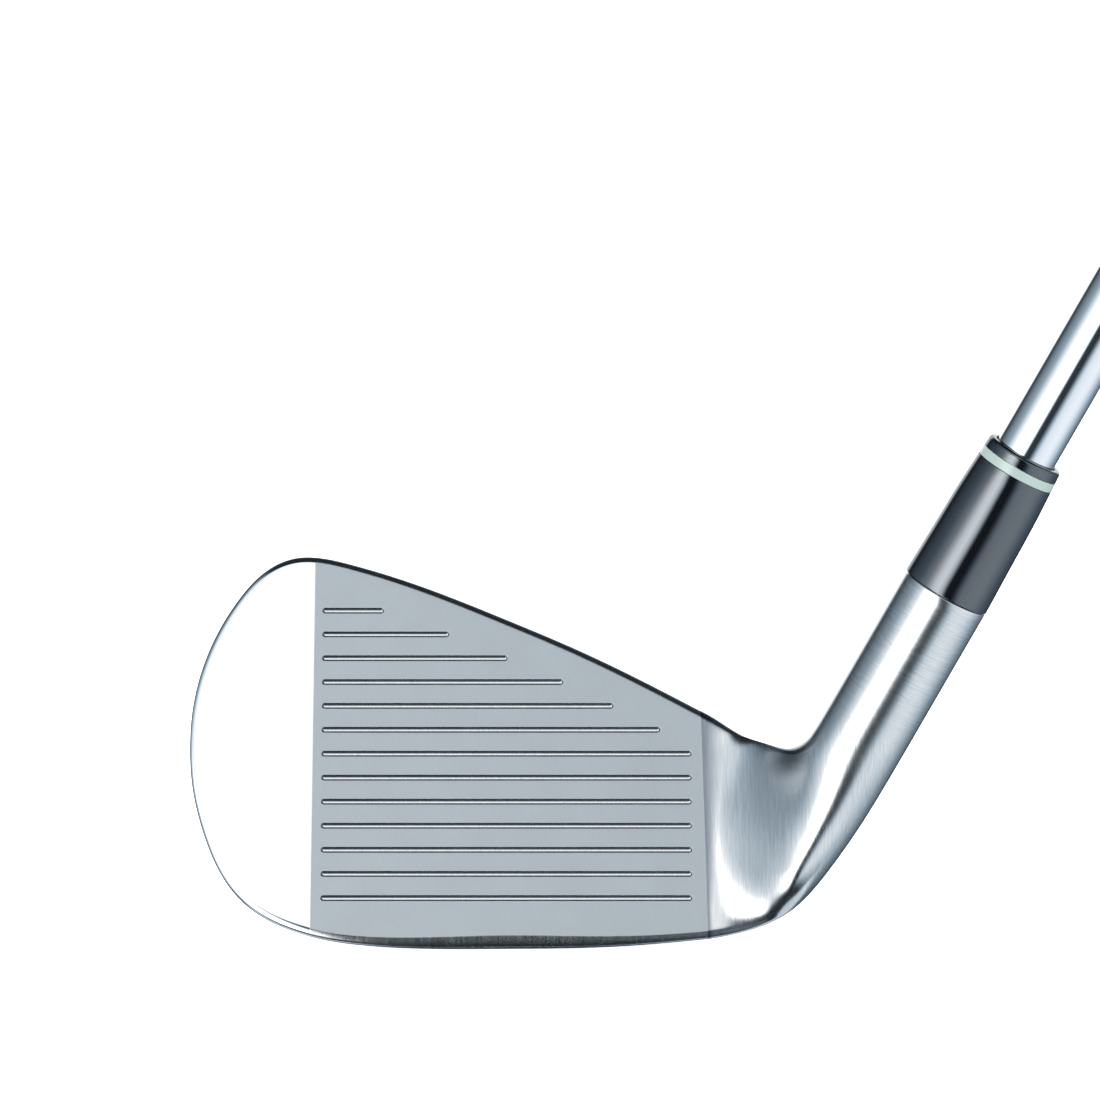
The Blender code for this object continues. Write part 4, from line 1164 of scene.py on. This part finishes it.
def floor_finish(settings):
    """Pale seamless paper with a trace of mottling."""
    material, finish = new_finish("studio_paper")
    place = finish.place()
    mottle = finish.noise(place, 3.0, 2.0, 0.5)
    colour = finish.mix(mottle, rgba(settings.floor), (0.88, 0.88, 0.88, 1.0))
    finish.surface({"Base Color": colour, "Roughness": 0.9, "Emission Color": rgba(settings.floor),
                    "Emission Strength": settings.floor_glow})
    return material


def studio_floor(settings):
    """A wide level sheet just under the sole: one height over a square grid."""
    reach = np.linspace(-FLOOR_REACH, FLOOR_REACH, FLOOR_POINTS)
    x, y = np.meshgrid(reach, reach, indexing="ij")
    points = np.column_stack((x.ravel(), y.ravel(), np.full(x.size, -FLOOR_DROP)))
    mesh = bpy.data.meshes.new("studio_floor")
    quads = grid_quads(FLOOR_POINTS, FLOOR_POINTS)[:, ::-1]
    mesh.from_pydata(layout_to_frame(points).tolist(), [], quads.tolist())
    mesh.materials.append(floor_finish(settings))
    floor = bpy.data.objects.new("studio_floor", mesh)
    bpy.context.scene.collection.objects.link(floor)
    floor.visible_glossy = False


def studio_light():
    """One large soft light above and to the left."""
    lamp = bpy.data.lights.new("soft_key", "AREA")
    lamp.shape = "DISK"
    lamp.size = LAMP_SIZE
    lamp.energy = LAMP_POWER
    light = bpy.data.objects.new("soft_key", lamp)
    light.location = layout_to_frame(LAMP_PLACE)
    aim = Vector(layout_to_frame(LAMP_AIM)) - light.location
    light.rotation_euler = aim.to_track_quat("-Z", "Y").to_euler()
    light.visible_glossy = False
    light.visible_camera = False
    bpy.context.scene.collection.objects.link(light)


def studio_camera(settings):
    """Camera in front of the face, a little above it, level across."""
    target = layout_to_frame(CAMERA_TARGET)
    rise = settings.camera_elevation
    towards = np.array([0.0, -math.cos(rise), math.sin(rise)])
    data = bpy.data.cameras.new("studio_camera")
    data.sensor_width = CAMERA_SENSOR
    data.lens = CAMERA_SENSOR * settings.camera_distance / settings.view_width
    data.clip_start = 0.01
    data.clip_end = 100.0
    camera = bpy.data.objects.new("studio_camera", data)
    camera.location = target + towards * settings.camera_distance
    camera.rotation_euler = (math.pi / 2.0 - rise, 0.0, 0.0)
    bpy.context.scene.collection.objects.link(camera)
    bpy.context.scene.camera = camera


# ---------------------------------------------------------------- operators

class CLUB_OT_head(bpy.types.Operator):
    """Build the forged head with its face, score lines and hosel"""
    bl_idname = "club.head"
    bl_label = "Head"

    def execute(self, context):
        settings = context.scene.club_head
        points, faces = head_surface(settings)
        piece = surface_object("iron_head", points, faces, head_finish(settings), replaces="head",
                               flat=on_face_plane)
        mark_score_lines(piece.data, settings)
        return {"FINISHED"}


class CLUB_OT_ferrule(bpy.types.Operator):
    """Build the ferrule's barrel, trim ring and cap"""
    bl_idname = "club.ferrule"
    bl_label = "Ferrule"

    def execute(self, context):
        settings = context.scene.club_ferrule
        end = FERRULE_START + settings.whole_length / MM
        cap_start = end - settings.cap_length / MM
        ring_start = cap_start - settings.ring_length / MM
        black = black_finish(settings)
        trim = trim_finish(settings)
        rows = (("ferrule_barrel", FERRULE_START, ring_start - FIT_GAP, 0.12, 0.06, black, "ferrule_black"),
                ("ferrule_ring", ring_start, cap_start - FIT_GAP, 0.06, 0.06, trim, "ferrule_trim"),
                ("ferrule_cap", cap_start, end, 0.06, 0.55, black, "ferrule_black"))
        for node, start, stop, low, high, material, slot in rows:
            profile = ferrule_piece(settings, start, stop, low, high)
            points, faces = turned_surface(profile, 128)
            piece = surface_object(node + "_fine", points, faces, material, replaces=node)
        return {"FINISHED"}


class CLUB_OT_shaft(bpy.types.Operator):
    """Build the stepped chrome shaft and its plain band"""
    bl_idname = "club.shaft"
    bl_label = "Shaft"

    def execute(self, context):
        settings = context.scene.club_shaft
        points, faces = turned_surface(shaft_profile(settings), 128)
        piece = surface_object("shaft_fine", points, faces, chrome_finish(settings), replaces="shaft")
        inner = shaft_radii(np.array([BAND_START]), settings)[0] + FIT_GAP
        outer = inner + BAND_THICKNESS
        stop = BAND_START + BAND_LENGTH
        corners = ((inner, BAND_START, 0.0), (outer, BAND_START, 0.1), (outer, stop, 0.1), (inner, stop, 0.0))
        points, faces = turned_surface(rounded_profile(corners), 96)
        piece = surface_object("shaft_band_fine", points, faces, band_finish(settings), replaces="shaft_band")
        return {"FINISHED"}


class CLUB_OT_grip(bpy.types.Operator):
    """Build the rubber grip and its end cap"""
    bl_idname = "club.grip"
    bl_label = "Grip"

    def execute(self, context):
        settings = context.scene.club_grip
        points, faces = grip_surface(settings)
        rubber = rubber_finish("grip_rubber", settings.rubber, 0.5)
        piece = surface_object("grip_fine", points, faces, rubber, replaces="grip")
        start = CLUB_END - CAP_HEIGHT
        corners = ((VENT_RADIUS, start, 0.0), (GRIP_BUTT_RADIUS, start, 0.2), (CAP_RADIUS, start + 1.3, 0.8),
                   (CAP_RADIUS, CLUB_END - 0.3, 1.8), (CAP_RADIUS - 3.4, CLUB_END, 0.3),
                   (CAP_RADIUS - 3.8, CLUB_END - 0.4, 0.15), (CAP_RADIUS - 4.4, CLUB_END - 0.4, 0.15),
                   (CAP_RADIUS - 4.8, CLUB_END, 0.2), (VENT_RADIUS, CLUB_END, 0.4))
        points, faces = turned_surface(rounded_profile(corners, 7), 128)
        cap_rubber = rubber_finish("grip_cap_rubber", settings.rubber, 0.38)
        piece = surface_object("grip_end_cap_fine", points, faces, cap_rubber, replaces="grip_end_cap")
        return {"FINISHED"}


class CLUB_OT_inner_parts(bpy.types.Operator):
    """Give the pieces inside the club their own finishes"""
    bl_idname = "club.inner_parts"
    bl_label = "Inner parts"

    def execute(self, context):
        finishes = {
            "tip_weight": hidden_finish("brass_plug", (0.78, 0.57, 0.24), 1.0, 0.25, 1.5),
            "hosel_epoxy": hidden_finish("adhesive", (0.62, 0.55, 0.36), 0.0, 0.35, 0.8),
            "grip_tape": hidden_finish("tape", (0.75, 0.72, 0.62), 0.0, 0.7, 4.0),
        }
        for node, material in finishes.items():
            if node not in frame["nodes"]:
                raise RuntimeError(f"the packed model has no {node}")
            mesh = frame["nodes"][node].data
            mesh.materials.clear()
            mesh.materials.append(material)
        return {"FINISHED"}


class CLUB_OT_studio(bpy.types.Operator):
    """Build the floor, the soft light and the camera"""
    bl_idname = "club.studio"
    bl_label = "Studio"

    def execute(self, context):
        settings = context.scene.club_studio
        context.scene.view_settings.view_transform = "Standard"
        studio_world(settings)
        studio_floor(settings)
        studio_light()
        studio_camera(settings)
        return {"FINISHED"}


OPERATORS = (CLUB_OT_studio, CLUB_OT_head, CLUB_OT_ferrule, CLUB_OT_shaft, CLUB_OT_grip, CLUB_OT_inner_parts)


class CLUB_PT_panel(bpy.types.Panel):
    """Club tools in the sidebar"""
    bl_idname = "CLUB_PT_panel"
    bl_label = "Iron golf club"
    bl_space_type = "VIEW_3D"
    bl_region_type = "UI"
    bl_category = "Club"

    def draw(self, context):
        for operator in OPERATORS:
            self.layout.operator(operator.bl_idname)
        for group in SETTINGS:
            box = self.layout.box()
            owner = getattr(context.scene, group)
            for name in owner.bl_rna.properties.keys():
                if name not in ("rna_type", "name"):
                    box.prop(owner, name)


SETTINGS = {
    "club_head": HeadSettings,
    "club_ferrule": FerruleSettings,
    "club_shaft": ShaftSettings,
    "club_grip": GripSettings,
    "club_studio": StudioSettings,
}


def register():
    """Register the settings, the operators and the panel."""
    for name, group in SETTINGS.items():
        bpy.utils.register_class(group)
        setattr(bpy.types.Scene, name, bpy.props.PointerProperty(type=group))
    for operator in OPERATORS:
        bpy.utils.register_class(operator)
    bpy.utils.register_class(CLUB_PT_panel)


def unregister():
    """Take everything back out."""
    bpy.utils.unregister_class(CLUB_PT_panel)
    for operator in reversed(OPERATORS):
        bpy.utils.unregister_class(operator)
    for name, group in SETTINGS.items():
        delattr(bpy.types.Scene, name)
        bpy.utils.unregister_class(group)


def main():
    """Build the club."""
    register()
    bpy.ops.club.studio()
    bpy.ops.club.head()
    bpy.ops.club.ferrule()
    bpy.ops.club.shaft()
    bpy.ops.club.grip()
    bpy.ops.club.inner_parts()


if __name__ == "__main__":
    main()
